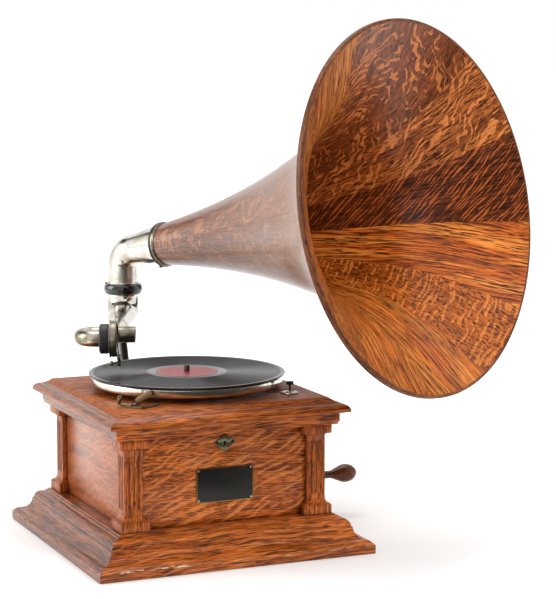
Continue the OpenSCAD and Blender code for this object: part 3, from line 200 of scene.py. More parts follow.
# A straight-milled head, its edges broken
def milled(radius, low, high, ridges, depth=0.25, chamfer=0.5):
    rings = []
    for r, z in ((radius - chamfer, low), (radius, low + chamfer), (radius, high - chamfer),
                 (radius - chamfer, high)):
        notch = depth if low < z < high else 0
        rings.append([((r - notch * (i % 4 > 1)) * x, (r - notch * (i % 4 > 1)) * y, z)
                      for i, (x, y, w) in enumerate(ringAt(1, 0, ridges * 4))])
    return loft(rings)


def atFront(x, z, out=0):
    return moved(x, -case["out"] - out, z) @ turned("X", 90)


# Points closer than weld (metres) become one; edges sharper than sharpFrom (degrees) are broken
meshing = {"weld": 2e-6, "sharpFrom": 30, "flatUnder": 0.5, "bevelSteps": 2}
# Fleck share, fleck angle in radians and tone of a board that needs none of its own
plainBoard = (0.5, 0.4, 0.5)


# Turns a shape into an object that rides on a body
def makePiece(name, part, material, body, replaced=(), bevel=0, smooth=35, board=None, wear=None):
    mesh = bpy.data.meshes.new(name)
    mesh.from_pydata([p / 1000 for p in part["points"]], [], part["faces"])
    count = len(part["points"])
    grain = mesh.attributes.new("grain", "FLOAT_VECTOR", "POINT")
    grain.data.foreach_set("vector", np.array(part["grain"], np.float32).ravel())
    figure = mesh.attributes.new("board", "FLOAT_VECTOR", "POINT")
    values = board if isinstance(board, list) else [board or plainBoard] * count
    figure.data.foreach_set("vector", np.array(values, np.float32).ravel())
    worn = mesh.attributes.new("wear", "FLOAT", "POINT")
    worn.data.foreach_set("value", wear or [0.0] * count)
    return finishPiece(name, mesh, material, body, replaced, bevel, smooth)


# Breaks the sharp edges; without inner, a corner that opens outwards stays, so a bore keeps its full depth
def bevelEdges(work, width, inner=True):
    least = math.radians(meshing["sharpFrom"])
    sharp = [e for e in work.edges if len(e.link_faces) == 2
             and (e.calc_face_angle(0) if inner else e.calc_face_angle_signed(0)) > least]
    bmesh.ops.bevel(work, geom=sharp, offset=width / 1000, segments=meshing["bevelSteps"], profile=0.5,
                    affect="EDGES", clamp_overlap=True)


def finishPiece(name, mesh, material, body, replaced, bevel, smooth):
    work = bmesh.new()
    work.from_mesh(mesh)
    bmesh.ops.remove_doubles(work, verts=work.verts, dist=meshing["weld"])
    bmesh.ops.recalc_face_normals(work, faces=work.faces)
    if bevel:
        bevelEdges(work, bevel)
    work.to_mesh(mesh)
    work.free()
    mesh.shade_smooth()
    mesh.set_sharp_from_angle(angle=math.radians(smooth))
    mesh.materials.append(material)
    piece = bpy.data.objects.new(name, mesh)
    bpy.context.scene.collection.objects.link(piece)
    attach(piece, body)
    if replaced:
        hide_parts(*replaced)
    return piece


# The separate solids of a mesh, as groups of its points
def islands(work):
    seen, groups = set(), []
    for first in work.verts:
        if first in seen:
            continue
        group, queue = [], [first]
        seen.add(first)
        while queue:
            vertex = queue.pop()
            group.append(vertex)
            for edge in vertex.link_edges:
                other = edge.other_vert(vertex)
                if other not in seen:
                    seen.add(other)
                    queue.append(other)
        groups.append(group)
    return groups


boardShift = Vector((331, 77, 19))  # each solid of a node is cut from another place in the wood


# A copy of a CAD node with broken edges; axes says which way its grain runs, board by board
def dressNode(node, name, material, body, axes=(0, 1, 2), bevel=0.35, board=plainBoard, smooth=35,
              inner=True):
    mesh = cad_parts[node].data.copy()
    mesh.name = name
    mesh.materials.clear()
    work = bmesh.new()
    work.from_mesh(mesh)
    bmesh.ops.remove_doubles(work, verts=work.verts, dist=meshing["weld"])
    bmesh.ops.dissolve_limit(work, angle_limit=math.radians(meshing["flatUnder"]), verts=work.verts,
                             edges=work.edges)
    if bevel:
        bevelEdges(work, bevel, inner)
    bmesh.ops.triangulate(work, faces=[f for f in work.faces if len(f.verts) > 4])
    grain = work.verts.layers.float_vector.new("grain")
    figure = work.verts.layers.float_vector.new("board")
    for number, island in enumerate(islands(work)):
        for vertex in island:
            at = vertex.co * 1000
            vertex[grain] = Vector([at[k] for k in axes]) + number * boardShift
            vertex[figure] = board
    work.to_mesh(mesh)
    work.free()
    return finishPiece(name, mesh, material, body, [node], 0, smooth)


# Turns an sRGB hex value into the linear colour that a shader takes
def colour(code):
    parts = [int(code[i:i + 2], 16) / 255 for i in (1, 3, 5)]
    return [p / 12.92 if p <= 0.04045 else ((p + 0.055) / 1.055) ** 2.4 for p in parts] + [1]


# Adds a node and hands on one of its outputs, or the node itself if out is None. Words with a capital are
# its inputs by name, i0 and up its inputs by place, the others its settings; stops are a ramp's colours.
def addNode(owner, kind, out=0, stops=(), **words):
    node = owner.node_tree.nodes.new("ShaderNode" + kind)
    for key, value in words.items():
        byPlace = key[1:].isdigit()
        if key[0].islower() and not byPlace:
            setattr(node, key, value)
            continue
        socket = node.inputs[int(key[1:]) if byPlace else key.replace("_", " ")]
        if isinstance(value, bpy.types.NodeSocket):
            owner.node_tree.links.new(value, socket)
        else:
            socket.default_value = value
    while stops and len(node.color_ramp.elements) < len(stops):
        node.color_ramp.elements.new(0.5)
    for number, (at, shade) in enumerate(stops):
        mark = node.color_ramp.elements[number]
        mark.position = at
        mark.color = colour(shade) if isinstance(shade, str) else (shade, shade, shade, 1)
    return node if out is None else node.outputs[out]


def newMaterial(name, **surface):
    material = bpy.data.materials.new(name)
    material.use_nodes = True
    shader = material.node_tree.nodes["Principled BSDF"]
    for key, value in surface.items():
        shader.inputs[key.replace("_", " ")].default_value = value
    return material, shader


def link(owner, shader, **outputs):
    for key, output in outputs.items():
        owner.node_tree.links.new(output, shader.inputs[key.replace("_", " ")])


# Lays a colour over what is below it where a pattern rises from low to high, by the share given
def layer(owner, below, pattern, low, high, share, code):
    mask = addNode(owner, "MapRange", interpolation_type="SMOOTHSTEP", Value=pattern, From_Min=low,
                   From_Max=high)
    amount = addNode(owner, "Math", operation="MULTIPLY", i0=mask, i1=share)
    return amount, addNode(owner, "Mix", 2, data_type="RGBA", i0=amount, i6=below, i7=colour(code))


# Quartersawn oak under old shellac: orange ground in bands, dark pores in short dashes, and pale wavy
# ray flecks that sweep across the board. The board attribute holds fleck share, fleck angle and tone;
# the grain attribute holds millimetres along the board, across it and into it.
def oak(name, look):
    wood, shader = newMaterial(name, Coat_Weight=look["coat"], Coat_Roughness=0.3, Coat_IOR=look["coatIndex"],
                               Specular_IOR_Level=0.2)
    grain = addNode(wood, "Attribute", "Vector", attribute_name="grain")
    board = addNode(wood, "Attribute", "Vector", attribute_name="board")
    fleckShare, fleckAngle, boardTone = addNode(wood, "SeparateXYZ", None, Vector=board).outputs
    # A slow drift bends the grain, and clouds the colour and the gloss
    slow = addNode(wood, "VectorMath", operation="MULTIPLY", i0=grain, i1=look["drift"])
    drift = addNode(wood, "TexNoise", None, Vector=slow, Scale=1)
    bent = addNode(wood, "VectorMath", operation="MULTIPLY_ADD", i0=drift.outputs["Color"],
                   i1=(0, look["wander"], look["wander"]), i2=grain)
    tilted = addNode(wood, "VectorRotate", rotation_type="Z_AXIS", Vector=bent, Angle=fleckAngle)
    # Each pattern is a noise drawn out along the bent grain, the flecks' own lie, or the straight board
    noises = {}
    for key, lie, detail, rough in (("bands", bent, 4, 0.65), ("streaks", bent, 3, 0.6),
                                    ("pores", bent, 3, 0.6), ("sway", tilted, 2.5, 0.55),
                                    ("gaps", tilted, 2, 0.55), ("chips", grain, 3, 0.7)):
        drawn = addNode(wood, "VectorMath", operation="MULTIPLY", i0=lie, i1=look[key])
        noises[key] = addNode(wood, "TexNoise", Vector=drawn, Scale=1, Detail=detail, Roughness=rough)
    ground = addNode(wood, "ValToRGB", stops=look["ground"], Fac=noises["bands"])
    _, streaked = layer(wood, ground, noises["streaks"], *look["streakRise"], look["streakShare"],
                        look["dark"])
    # Ray flecks: wavy ribbons, broken where the second noise runs low
    across = addNode(wood, "SeparateXYZ", "Y", Vector=tilted)
    swayed = addNode(wood, "Math", operation="MULTIPLY", i0=noises["sway"], i1=look["swayBy"])
    turns = addNode(wood, "Math", operation="MULTIPLY_ADD", i0=across, i1=6.283 / look["spacing"], i2=swayed)
    wave = addNode(wood, "Math", operation="SINE", i0=turns)
    level = addNode(wood, "Math", operation="MULTIPLY_ADD", i0=wave, i1=look["waveShare"], i2=noises["gaps"])
    flecks, flecked = layer(wood, streaked, level, look["cut"], look["cut"] + look["soft"], fleckShare,
                            look["fleck"])
    # Pores, fewer where a fleck lies
    dashes = addNode(wood, "MapRange", interpolation_type="SMOOTHSTEP", Value=noises["pores"],
                     From_Min=look["poreRise"][0], From_Max=look["poreRise"][1])
    pores = addNode(wood, "Math", operation="MULTIPLY", i0=dashes, i1=look["poreShare"])
    spared = addNode(wood, "Math", operation="MULTIPLY_ADD", i0=flecks, i1=-look["poresSpared"], i2=1.0)
    thinned = addNode(wood, "Math", operation="MULTIPLY", i0=pores, i1=spared)
    pored = addNode(wood, "Mix", 2, data_type="RGBA", i0=thinned, i6=flecked, i7=colour(look["pore"]))
    tone = addNode(wood, "MapRange", Value=boardTone, To_Min=look["tones"][0], To_Max=look["tones"][1])
    clouds = addNode(wood, "MapRange", Value=drift.outputs["Fac"], From_Min=0.3, From_Max=0.7,
                     To_Min=look["clouds"][0], To_Max=look["clouds"][1])
    strength = addNode(wood, "Math", operation="MULTIPLY", i0=tone, i1=clouds)
    toned = addNode(wood, "VectorMath", operation="SCALE", i0=pored, Scale=strength)
    # Painted shade: the colour is darkened in the hollows between mouldings, where the AO node finds surfaces
    # close by
    clear = addNode(wood, "AmbientOcclusion", "AO", samples=6, Distance=look["hollow"])
    paintedShade = addNode(wood, "ValToRGB", stops=[(0.35, 0.28), (0.75, 1.0)], Fac=clear)
    toned = addNode(wood, "Mix", 2, data_type="RGBA", blend_type="MULTIPLY", i0=1.0, i6=toned, i7=paintedShade)
    # Painted sheen: towards the mouth the outside is paled towards a light colour that stands in for its
    # reflection
    if "fade" in look:
        fade = look["fade"]
        where = addNode(wood, "TexCoord", "Object")
        reach = addNode(wood, "VectorMath", "Value", operation="DISTANCE", i0=where, i1=fade["from"])
        _, toned = layer(wood, toned, reach, fade["start"], fade["end"], fade["share"], fade["dust"])
    # Knocked edges show bare pale wood
    wear = addNode(wood, "Attribute", "Fac", attribute_name="wear")
    _, tint = layer(wood, toned, noises["chips"], *look["chipRise"], wear, look["bare"])
    gloss = addNode(wood, "MapRange", Value=drift.outputs["Fac"], From_Min=0.3, From_Max=0.7,
                    To_Min=look["rough"] * look["patches"][0], To_Max=look["rough"] * look["patches"][1])
    bump = addNode(wood, "Bump", Strength=0.25, Distance=0.0003, Height=noises["pores"])
    link(wood, shader, Base_Color=tint, Roughness=gloss, Normal=bump)
    return wood


# Case wood: golden orange. Pattern scales are counts per millimetre along, across and into the board; real
# pores are a third of a millimetre wide, and are drawn coarser so that they show
caseLook = {
    "rough": 0.4,
    "coat": 0.35,  # thin old shellac
    "coatIndex": 1.5,
    "drift": (0.008, 0.02, 0.02),  # clouds 125 mm long and 50 mm wide
    "wander": 14,  # the grain strays by up to 14 mm
    "bands": (0.005, 0.09, 0.09),  # year rings 11 mm wide
    "ground": [(0.30, "#8e4418"), (0.45, "#bd5d1c"), (0.58, "#d67228"), (0.72, "#aa5219")],
    "streaks": (0.013, 0.7, 0.7),  # dark streaks 1.4 mm wide and 75 mm long
    "streakRise": (0.5, 0.6),
    "streakShare": 0.7,
    "dark": "#43200d",
    "pores": (0.08, 0.85, 0.85),  # dashes 1.2 mm wide and 12 mm long
    "poreRise": (0.5, 0.58),
    "poreShare": 0.75,
    "poresSpared": 0.6,  # share of the pores that a fleck hides
    "pore": "#34160a",
    "spacing": 8.5,  # one fleck every 8.5 mm
    "swayBy": 30,
    "sway": (0.010, 0.026, 0.02),  # the flecks wave over 40 to 100 mm
    "gaps": (0.024, 0.12, 0.06),  # flecks up to 40 mm long
    "waveShare": 0.16,
    "cut": 0.585,
    "soft": 0.05,
    "fleck": "#e08743",
    "tones": (0.3, 1.7),  # a board's tone darkens or lightens it this far
    "clouds": (0.85, 1.12),  # and its clouds this far
    "patches": (0.85, 1.2),  # shares of rough between which the gloss drifts
    "hollow": 0.007,  # painted shade darkens the wood within 7 mm of a corner
    "chips": (0.1, 0.5, 0.5),  # chips 2 mm high and 10 mm long
    "chipRise": (0.54, 0.58),
    "bare": "#e8d3b8"}
caseOak = oak("quartersawnOak", caseLook)
# The left panel is glossier, and its streaks and pores are thinned: a painted sheen that washes out its
# pattern
sideOak = oak("sideOak", dict(caseLook, rough=0.34, coat=1.0, streakShare=0.3, poreShare=0.5))
deckOak = oak("deckOak", dict(caseLook, rough=0.5, coat=0.1))  # the motor board's polish is worn dull
# Mouldings show long straight grain; the left ones carry more polish and look paler
mouldLook = dict(caseLook, pores=(0.035, 0.8, 0.8), streaks=(0.008, 0.4, 0.4), poreShare=0.85)
mouldOak = oak("mouldingOak", mouldLook)
leftMouldOak = oak("leftMouldingOak", dict(mouldLook, rough=0.36, coat=0.7))
knobLook = dict(caseLook, rough=0.3, bands=(0.02, 0.2, 0.2),
                ground=[(0.3, "#3f1c0b"), (0.5, "#74391a"), (0.65, "#8a4a22"), (0.8, "#5a2b12")])
knobWood = oak("knobWood", knobLook)  # dark turned wood, polished by hands

# Horn staves come from different boards; the outside of all of them has weathered to one mottled brown
snakes = dict(caseLook, rough=0.34, wander=10, spacing=10, swayBy=40, cut=0.59, soft=0.06, fleck="#bd6f36",
              ground=[(0.3, "#632d0f"), (0.5, "#87421a"), (0.7, "#a05526")], dark="#3a190a", pore="#2a1105",
              pores=(0.09, 0.62, 0.62), sway=(0.024, 0.03, 0.02), gaps=(0.022, 0.09, 0.05), poreShare=0.95)
reds = dict(snakes, spacing=4.4, swayBy=26, cut=0.53, soft=0.17, fleck="#b55a24", gaps=(0.035, 0.22, 0.1),
            ground=[(0.3, "#3a1808"), (0.5, "#5c2a10"), (0.7, "#7f3e19")], pores=(0.05, 0.6, 0.6),
            sway=(0.015, 0.05, 0.03))
bright = dict(caseLook, rough=0.34, wander=9, bands=(0.0035, 0.06, 0.06), streaks=(0.006, 0.5, 0.5),
              pores=(0.03, 0.7, 0.7), streakShare=0.85, poreShare=0.95, pore="#43190a", dark="#6a2d0f",
              ground=[(0.32, "#a84f17"), (0.44, "#d86b20"), (0.56, "#f3963f"), (0.7, "#c66219")])
speckled = dict(caseLook, rough=0.34, pores=(0.16, 0.6, 0.6), spacing=8, swayBy=22, cut=0.57, soft=0.1,
                poreShare=1.0, ground=[(0.3, "#9c4c18"), (0.5, "#c9671f"), (0.7, "#dc7a2a")], fleck="#e6893c",
                gaps=(0.05, 0.12, 0.06), sway=(0.02, 0.04, 0.02), pore="#401b09")
flamed = dict(snakes, spacing=10, swayBy=34, cut=0.57, soft=0.07, fleck="#d8813f", dark="#43200d",
              ground=[(0.3, "#74381a"), (0.45, "#a1531f"), (0.6, "#c06a2a"), (0.75, "#87441b")],
              pore="#34160a")
# The outside of the horn pales from the throat towards the mouth: a painted sheen
throatAt = tuple(axisFrame @ Vector((0, 0, horn["throat"])) / 1000)
outer = dict(caseLook, rough=0.32, coat=1.0, coatIndex=1.62, spacing=17, swayBy=44, cut=0.58, soft=0.12,
             fleck="#c07c4e", ground=[(0.3, "#6f3617"), (0.5, "#925026"), (0.7, "#a65d31")],
             sway=(0.02, 0.04, 0.02), gaps=(0.03, 0.07, 0.05), pores=(0.05, 0.6, 0.6),
             fade={"from": throatAt, "start": 0.04, "end": 0.4, "share": 0.5, "dust": "#c39c84"})
band = dict(caseLook, rough=0.42, coat=0.1, pores=(0.12, 1.0, 1.0),
            ground=[(0.3, "#6b381a"), (0.6, "#8c4e27")])
hornLooks = {"snake": snakes,  # brown with bold pale snakes
             "red": reds,  # dark with thin red streaks
             "bright": bright,  # golden and straight
             "speckled": speckled,  # orange with short arcs and dots
             "flamed": flamed,  # mid brown with short flames
             "mottled": outer,  # glossy brown, paled towards the mouth by a painted sheen
             "rim": band}  # dull brown band with end grain
hornWoods = {key: oak(key + "Oak", look) for key, look in hornLooks.items()}


# Nickel plate on brass: bright and warm, with fine wipe marks and a yellowish bloom where it has worn. Bloom
# patches are 26 mm across; wipe marks are 1.1 mm wide and 8 mm long, coarser than real ones so that they show
def nickel(name, bright="#e6e2d8", dull="#beb39c", rough=0.13, worn=0.52):
    metal, shader = newMaterial(name, Metallic=1)
    where = addNode(metal, "TexCoord", "Object")
    bloom = addNode(metal, "TexNoise", Vector=where, Scale=38, Detail=5, Roughness=0.65)
    tint = addNode(metal, "ValToRGB", stops=[(worn - 0.06, bright), (worn + 0.14, dull)], Fac=bloom)
    wiped = addNode(metal, "VectorMath", operation="MULTIPLY", i0=where, i1=(900, 900, 120))
    marks = addNode(metal, "TexNoise", Vector=wiped, Scale=1, Detail=3)
    gloss = addNode(metal, "MapRange", Value=bloom, From_Min=0.35, From_Max=0.7, To_Min=rough * 0.7,
                    To_Max=rough * 2.2)
    bump = addNode(metal, "Bump", Strength=0.06, Distance=0.0002, Height=marks)
    link(metal, shader, Base_Color=tint, Roughness=gloss, Normal=bump)
    return metal


# Steel, brass or bronze gone patchy with age, over a faint lay of tool marks; patch is patches per metre
def agedMetal(name, bright, dark, rough, patch=60, cover=0.5):
    metal, shader = newMaterial(name, Metallic=1)
    where = addNode(metal, "TexCoord", "Object")
    age = addNode(metal, "TexNoise", Vector=where, Scale=patch, Detail=6, Roughness=0.7)
    tint = addNode(metal, "ValToRGB", stops=[(cover - 0.12, bright), (cover + 0.14, dark)], Fac=age)
    gloss = addNode(metal, "MapRange", Value=age, From_Min=0.3, From_Max=0.7, To_Min=rough * 0.8,
                    To_Max=rough * 1.5)
    bump = addNode(metal, "Bump", Strength=0.12, Distance=0.0002, Height=age)
    link(metal, shader, Base_Color=tint, Roughness=gloss, Normal=bump)
    return metal


# Painted, moulded or pressed surface: one hue with faint mottling and a fine skin; grit is grains per metre
def coated(name, tone, other, rough, grit=500, bumpy=0.05, coat=0.0, sheen=0.0):
    skinned, shader = newMaterial(name, Coat_Weight=coat, Coat_Roughness=0.08, Sheen_Weight=sheen)
    where = addNode(skinned, "TexCoord", "Object")
    mottle = addNode(skinned, "TexNoise", Vector=where, Scale=grit / 12, Detail=4)
    skin = addNode(skinned, "TexNoise", Vector=where, Scale=grit, Detail=3)
    tint = addNode(skinned, "ValToRGB", stops=[(0.35, tone), (0.7, other)], Fac=mottle)
    gloss = addNode(skinned, "MapRange", Value=mottle, To_Min=rough * 0.8, To_Max=rough * 1.25)
    bump = addNode(skinned, "Bump", Strength=bumpy, Distance=0.0003, Height=skin)
    link(skinned, shader, Base_Color=tint, Roughness=gloss, Normal=bump)
    return skinned


# The notes say what the eye sees, and the size of the patches or grains
brightNickel = nickel("brightNickel")  # a warm mirror, cream where the plate thins
softNickel = nickel("wornNickel", "#c9c2b2", "#857c68", 0.17, 0.46)  # handled plate: greyer, brown in places
gunmetal = agedMetal("gunmetal", "#a39c8b", "#5c5547", 0.26, 45)  # cast, warm grey, 22 mm patches
steel = agedMetal("turnedSteel", "#b9b6ae", "#7c7870", 0.32, 30)  # plain grey with a satin shine, 33 mm
darkSteel = agedMetal("blackenedSteel", "#4a423b", "#292420", 0.34, 90)  # oil-black with a brown cast, 11 mm
brass = agedMetal("dullBrass", "#c9a45c", "#8a6b35", 0.34, 30)  # yellow gone to brown, 33 mm
bronze = agedMetal("agedBronze", "#9a8567", "#453729", 0.3, 120)  # olive brown, nearly black in spots, 8 mm
lockNickel = agedMetal("lockNickel", "#a79f80", "#5f5943", 0.36, 260)  # thin plate with olive specks, 4 mm
blackEnamel = coated("stovedBlackEnamel", "#0b0b0d", "#131316", 0.14, 300, 0.02, 0.7)  # deep, sharp gloss
plateEnamel = coated("plateEnamel", "#15130f", "#211d17", 0.4, 260, 0.1)  # old black, silky, 4 mm dimples
motorPaint = coated("paintedIron", "#2b2f2c", "#3a3f3a", 0.5, 260, 0.3)  # green-grey over rough cast iron
fibre = coated("vulcanisedFibre", "#7a4c28", "#94602f", 0.55, 600, 0.2)  # brown pressed board, 2 mm grain
rubber = coated("blackRubber", "#1c1c1d", "#29292b", 0.45, 900, 0.15)  # soft black with a faint bloom
felt = coated("woolFelt", "#26251f", "#35342b", 0.95, 2500, 0.8, 0, 0.6)  # dark, fuzzy, 0.4 mm hairs
leather = coated("brownLeather", "#7a5f3e", "#94784e", 0.6, 1400, 0.6)  # tan with a 0.7 mm grain
mica = coated("mica", "#b9ab84", "#cabb94", 0.12, 120, 0.05, 0.5)  # amber sheet with a glassy face

# Rings of the record and its label, as radii in millimetres; tracks is bands of louder and softer grooves
# per millimetre, and groove is radians of the groove wave per millimetre
disc = {"label": 50.5, "lead": 119, "plainRough": 0.2, "grooveRough": 0.46, "rimLess": 0.26, "tracks": 1.4,
        "groove": 9.0, "ring": 35.5, "ringHalf": 0.4, "ringShare": 0.7}


# Black shellac disc: fine grooves pull the highlights out into pale wedges; its plain rings are smoother.
# Real grooves lie 0.25 mm apart and are drawn 0.7 mm apart, so that they show
def discMaterial(name):
    record, shader = newMaterial(name, Anisotropic=0.95, Anisotropic_Rotation=0.25, Specular_IOR_Level=0.62)
    where = addNode(record, "TexCoord", "Object")
    flat = addNode(record, "VectorMath", operation="MULTIPLY", i0=where, i1=(1000, 1000, 0))
    radius = addNode(record, "VectorMath", "Value", operation="LENGTH", i0=flat)
    tangent = addNode(record, "Tangent", direction_type="RADIAL", axis="Z")
    spread = addNode(record, "CombineXYZ", X=radius)
    tracks = addNode(record, "TexNoise", Vector=spread, Scale=disc["tracks"], Detail=3, Roughness=0.6)
    tint = addNode(record, "ValToRGB", stops=[(0.3, "#0f0f10"), (0.7, "#1a1a1b")], Fac=tracks)
    inside = addNode(record, "MapRange", Value=radius, From_Min=disc["label"], From_Max=disc["label"] + 1,
                     To_Min=disc["plainRough"], To_Max=disc["grooveRough"])
    outside = addNode(record, "MapRange", Value=radius, From_Min=disc["lead"], From_Max=disc["lead"] + 1,
                      To_Min=0.0, To_Max=disc["rimLess"])
    gloss = addNode(record, "Math", operation="SUBTRACT", i0=inside, i1=outside)
    turns = addNode(record, "Math", operation="MULTIPLY", i0=radius, i1=disc["groove"])
    grooves = addNode(record, "Math", operation="SINE", i0=turns)
    bump = addNode(record, "Bump", Strength=0.05, Distance=0.0001, Height=grooves)
    link(record, shader, Tangent=tangent, Base_Color=tint, Roughness=gloss, Normal=bump)
    return record


# Plain red paper disc with one printed ring, a little faded and glossy from pressing; 4 mm mottling
def labelMaterial(name):
    paper, shader = newMaterial(name, Roughness=0.42)
    where = addNode(paper, "TexCoord", "Object")
    flat = addNode(paper, "VectorMath", operation="MULTIPLY", i0=where, i1=(1000, 1000, 0))
    radius = addNode(paper, "VectorMath", "Value", operation="LENGTH", i0=flat)
    pulp = addNode(paper, "TexNoise", Vector=where, Scale=260, Detail=4, Roughness=0.6)
    ground = addNode(paper, "ValToRGB", stops=[(0.3, "#9c3038"), (0.7, "#b8424a")], Fac=pulp)
    ringLine = addNode(paper, "Math", operation="COMPARE", i0=radius, i1=disc["ring"], i2=disc["ringHalf"])
    printed = addNode(paper, "Math", operation="MULTIPLY", i0=ringLine, i1=disc["ringShare"])
    tint = addNode(paper, "Mix", 2, data_type="RGBA", i0=printed, i6=ground, i7=colour("#d9b06a"))
    bump = addNode(paper, "Bump", Strength=0.1, Distance=0.0002, Height=pulp)
    link(paper, shader, Base_Color=tint, Normal=bump)
    return paper


shellac = discMaterial("groovedShellac")
labelPaper = labelMaterial("labelPaper")
print("materials made")


# Mouldings: four mitred lengths round the case
mould = {"inner": 112, "soft": 0.5, "gap": 0.05, "stations": 10, "alongShift": 700, "acrossShift": 60,
         "depth": 3}
# Bare knocked spots sit within reach of an edge, hard ones on part of the front and light ones elsewhere
knocks = {"reachOut": 1.2, "reachUp": 1.4, "from": 0.35, "to": 0.95, "hard": 1.0, "light": 0.3}


def mouldings(name, section, replaced, boards, wornEdge=None):
    outline = softened(section, mould["soft"])
    along = lengths(outline)
    stations = [i / mould["stations"] for i in range(-mould["stations"], mould["stations"] + 1)]
    count = len(outline)
    parts, values, wear = [], [], []
    for side in range(4):
        points, faces, grain = [], [], []
        for s in stations:
            for (d, z), l in zip(outline, along):
                points.append((s * (d - mould["gap"]), d, z))
                grain.append((s * d + mould["alongShift"] * side, l + mould["acrossShift"] * side,
                              mould["depth"]))
                edge = (wornEdge and abs(d - wornEdge[0]) < knocks["reachOut"]
                        and abs(z - wornEdge[1]) < knocks["reachUp"])
                hard = side == 0 and knocks["from"] < s < knocks["to"]
                wear.append(knocks["hard" if hard else "light"] if edge else 0.0)
        for i in range(len(stations) - 1):
            for j in range(count):
                k = (j + 1) % count
                faces.append([i * count + j, i * count + k, (i + 1) * count + k, (i + 1) * count + j])
        faces.append(list(range(count)))
        faces.append(list(range(len(points) - count, len(points))))
        parts.append(place(shape(points, faces, grain), turned("Z", 180 + 90 * side)))
        values += [boards[side]] * len(points)
    piece = makePiece(name, join(*parts), mouldOak, "cabinet", replaced, board=values, smooth=28,
                      wear=wear)
    piece.data.materials.append(leftMouldOak)
    for face in piece.data.polygons:
        face.material_index = int(-face.center.x > abs(face.center.y))


# Plinth: square edge, hollow, round and small steps. Boards hold fleck share, fleck angle and tone
base = {"half": 180.5, "top": 46, "edge": 10.8, "cove": 15.5, "coveDrop": 14.7, "ovolo": 10, "ovoloDrop": 4.3,
        "step": 1.5, "inset": 6}
coveX = base["half"] - base["inset"]
coveTop = base["top"] - base["coveDrop"]
ovoloX = coveX - base["cove"] - base["step"] - base["ovolo"]
ovoloZ = base["top"] - base["ovoloDrop"] - base["ovolo"]
plinthSection = [(mould["inner"], 0), (base["half"], 0), (base["half"], base["edge"] - 2),
                 (base["half"], base["edge"]), (base["half"] - 2, base["edge"] + 1.7),
                 (coveX, coveTop - base["cove"]), *arc(coveX, coveTop, base["cove"], 270, 180, 14),
                 (coveX - base["cove"] - 0.8, coveTop + 0.5), (ovoloX + base["ovolo"], ovoloZ),
                 *arc(ovoloX, ovoloZ, base["ovolo"], 0, 90, 14), (ovoloX - 2, base["top"] - 4),
                 (ovoloX - 2.4, base["top"] - 1.8), (ovoloX - 5, base["top"] - 1.5),
                 (ovoloX - 5.4, base["top"]), (mould["inner"], base["top"])]
# The last board, on the left side, has a low tone: painted shade that darkens the left-side plinth moulding
plinthBoards = [(0.5, 0.12, 0.5), (0.4, 0.3, 0.5), (0.3, 0.1, 0.5), (0.4, 0.2, 0.2)]
mouldings("plinthMouldings", plinthSection, ["plinth_mouldings"], plinthBoards, (base["half"], base["edge"]))

# Lid: bead, fascia, undercut and nosing
lid = {"body": 132.5, "low": 160, "fascia": 14, "out": 25, "nose": 11.7, "undercut": 2.6, "board": 142.5,
       "boardLow": 178}
fasciaTop = lid["low"] + lid["fascia"]
noseZ = fasciaTop + lid["undercut"]
noseTop = noseZ + lid["nose"]
lidSection = [(mould["inner"], lid["low"]), (lid["body"] + 11.2, lid["low"]),
              (lid["body"] + 12.7, lid["low"] + 0.7), (lid["body"] + 12.7, lid["low"] + 3),
              (lid["body"] + 14, lid["low"] + 4), (lid["body"] + 14, fasciaTop),
              (lid["body"] + 15.5, fasciaTop), (lid["body"] + 20.5, noseZ - 1.1),
              (lid["body"] + lid["out"] - 1, noseZ - 0.3),
              (lid["body"] + lid["out"], noseZ + 0.6),
              *arc(lid["board"] + 4, noseZ + 1.6, lid["out"] - 14.2, 0, 90, 14, lid["nose"] - 3.4),
              (lid["board"] + 1, noseTop), (lid["board"], noseTop), (lid["board"], lid["boardLow"]),
              (mould["inner"], lid["boardLow"])]
# The last board, on the left side, has a low tone: painted shade that darkens the left-side lid moulding
lidBoards = [(0.4, 0.1, 0.5), (0.4, 0.2, 0.5), (0.3, 0.1, 0.5), (0.4, 0.15, 0.24)]
mouldings("lidMouldings", lidSection, ["lid_mouldings"], lidBoards)


def camelName(node):
    first, *others = node.split("_")
    return first + "".join(word.title() for word in others)


# Flat boards and posts: wood, way of the grain, broken edge, and fleck share, fleck angle and tone
for node, wood, axes, edge, figure in (
        ("corner_posts", caseOak, (2, 0, 1), 0.35, (0.1, 0.1, 0.51)),
        ("front_panel", caseOak, (0, 2, 1), 0.3, (0.75, -0.42, 0.54)),
        ("back_panel", caseOak, (0, 2, 1), 0.3, (0.6, 0.3, 0.45)),
        ("left_panel", sideOak, (1, 2, 0), 0.3, (0.35, 0.4, 0.45)),
        ("right_panel", caseOak, (1, 2, 0), 0.3, (0.7, 0.3, 0.5)),
        ("bottom_board", caseOak, (0, 1, 2), 0.4, (0.2, 0.2, 0.6)),
        ("motor_board", deckOak, (0, 1, 2), 0.5, (0.4, 0.2, 0.4))):
    dressNode(node, camelName(node), wood, "cabinet", axes, edge, figure)
print("case made")

# Horn: twelve staves, each a tapered board bent to the flare; the lists give how far the flare has opened
flareAt = [0, 0.15, 0.3, 0.45, 0.6, 0.75, 0.88, 1]
flareBy = [0, 0.048, 0.112, 0.195, 0.303, 0.437, 0.665, 1]


# A smooth curve through the values at the stops
def smoothly(stops, values, t):
    i = min(max(sum(t > s for s in stops) - 1, 0), len(stops) - 2)
    h = stops[i + 1] - stops[i]
    u = (t - stops[i]) / h

    def slope(k):
        a, b = max(k - 1, 0), min(k + 1, len(stops) - 1)
        return (values[b] - values[a]) / (stops[b] - stops[a])
    ease = values[i] * (1 + 2 * u) * (1 - u) ** 2 + values[i + 1] * u * u * (3 - 2 * u)
    return ease + h * slope(i) * u * (1 - u) ** 2 - h * slope(i + 1) * u * u * (1 - u)


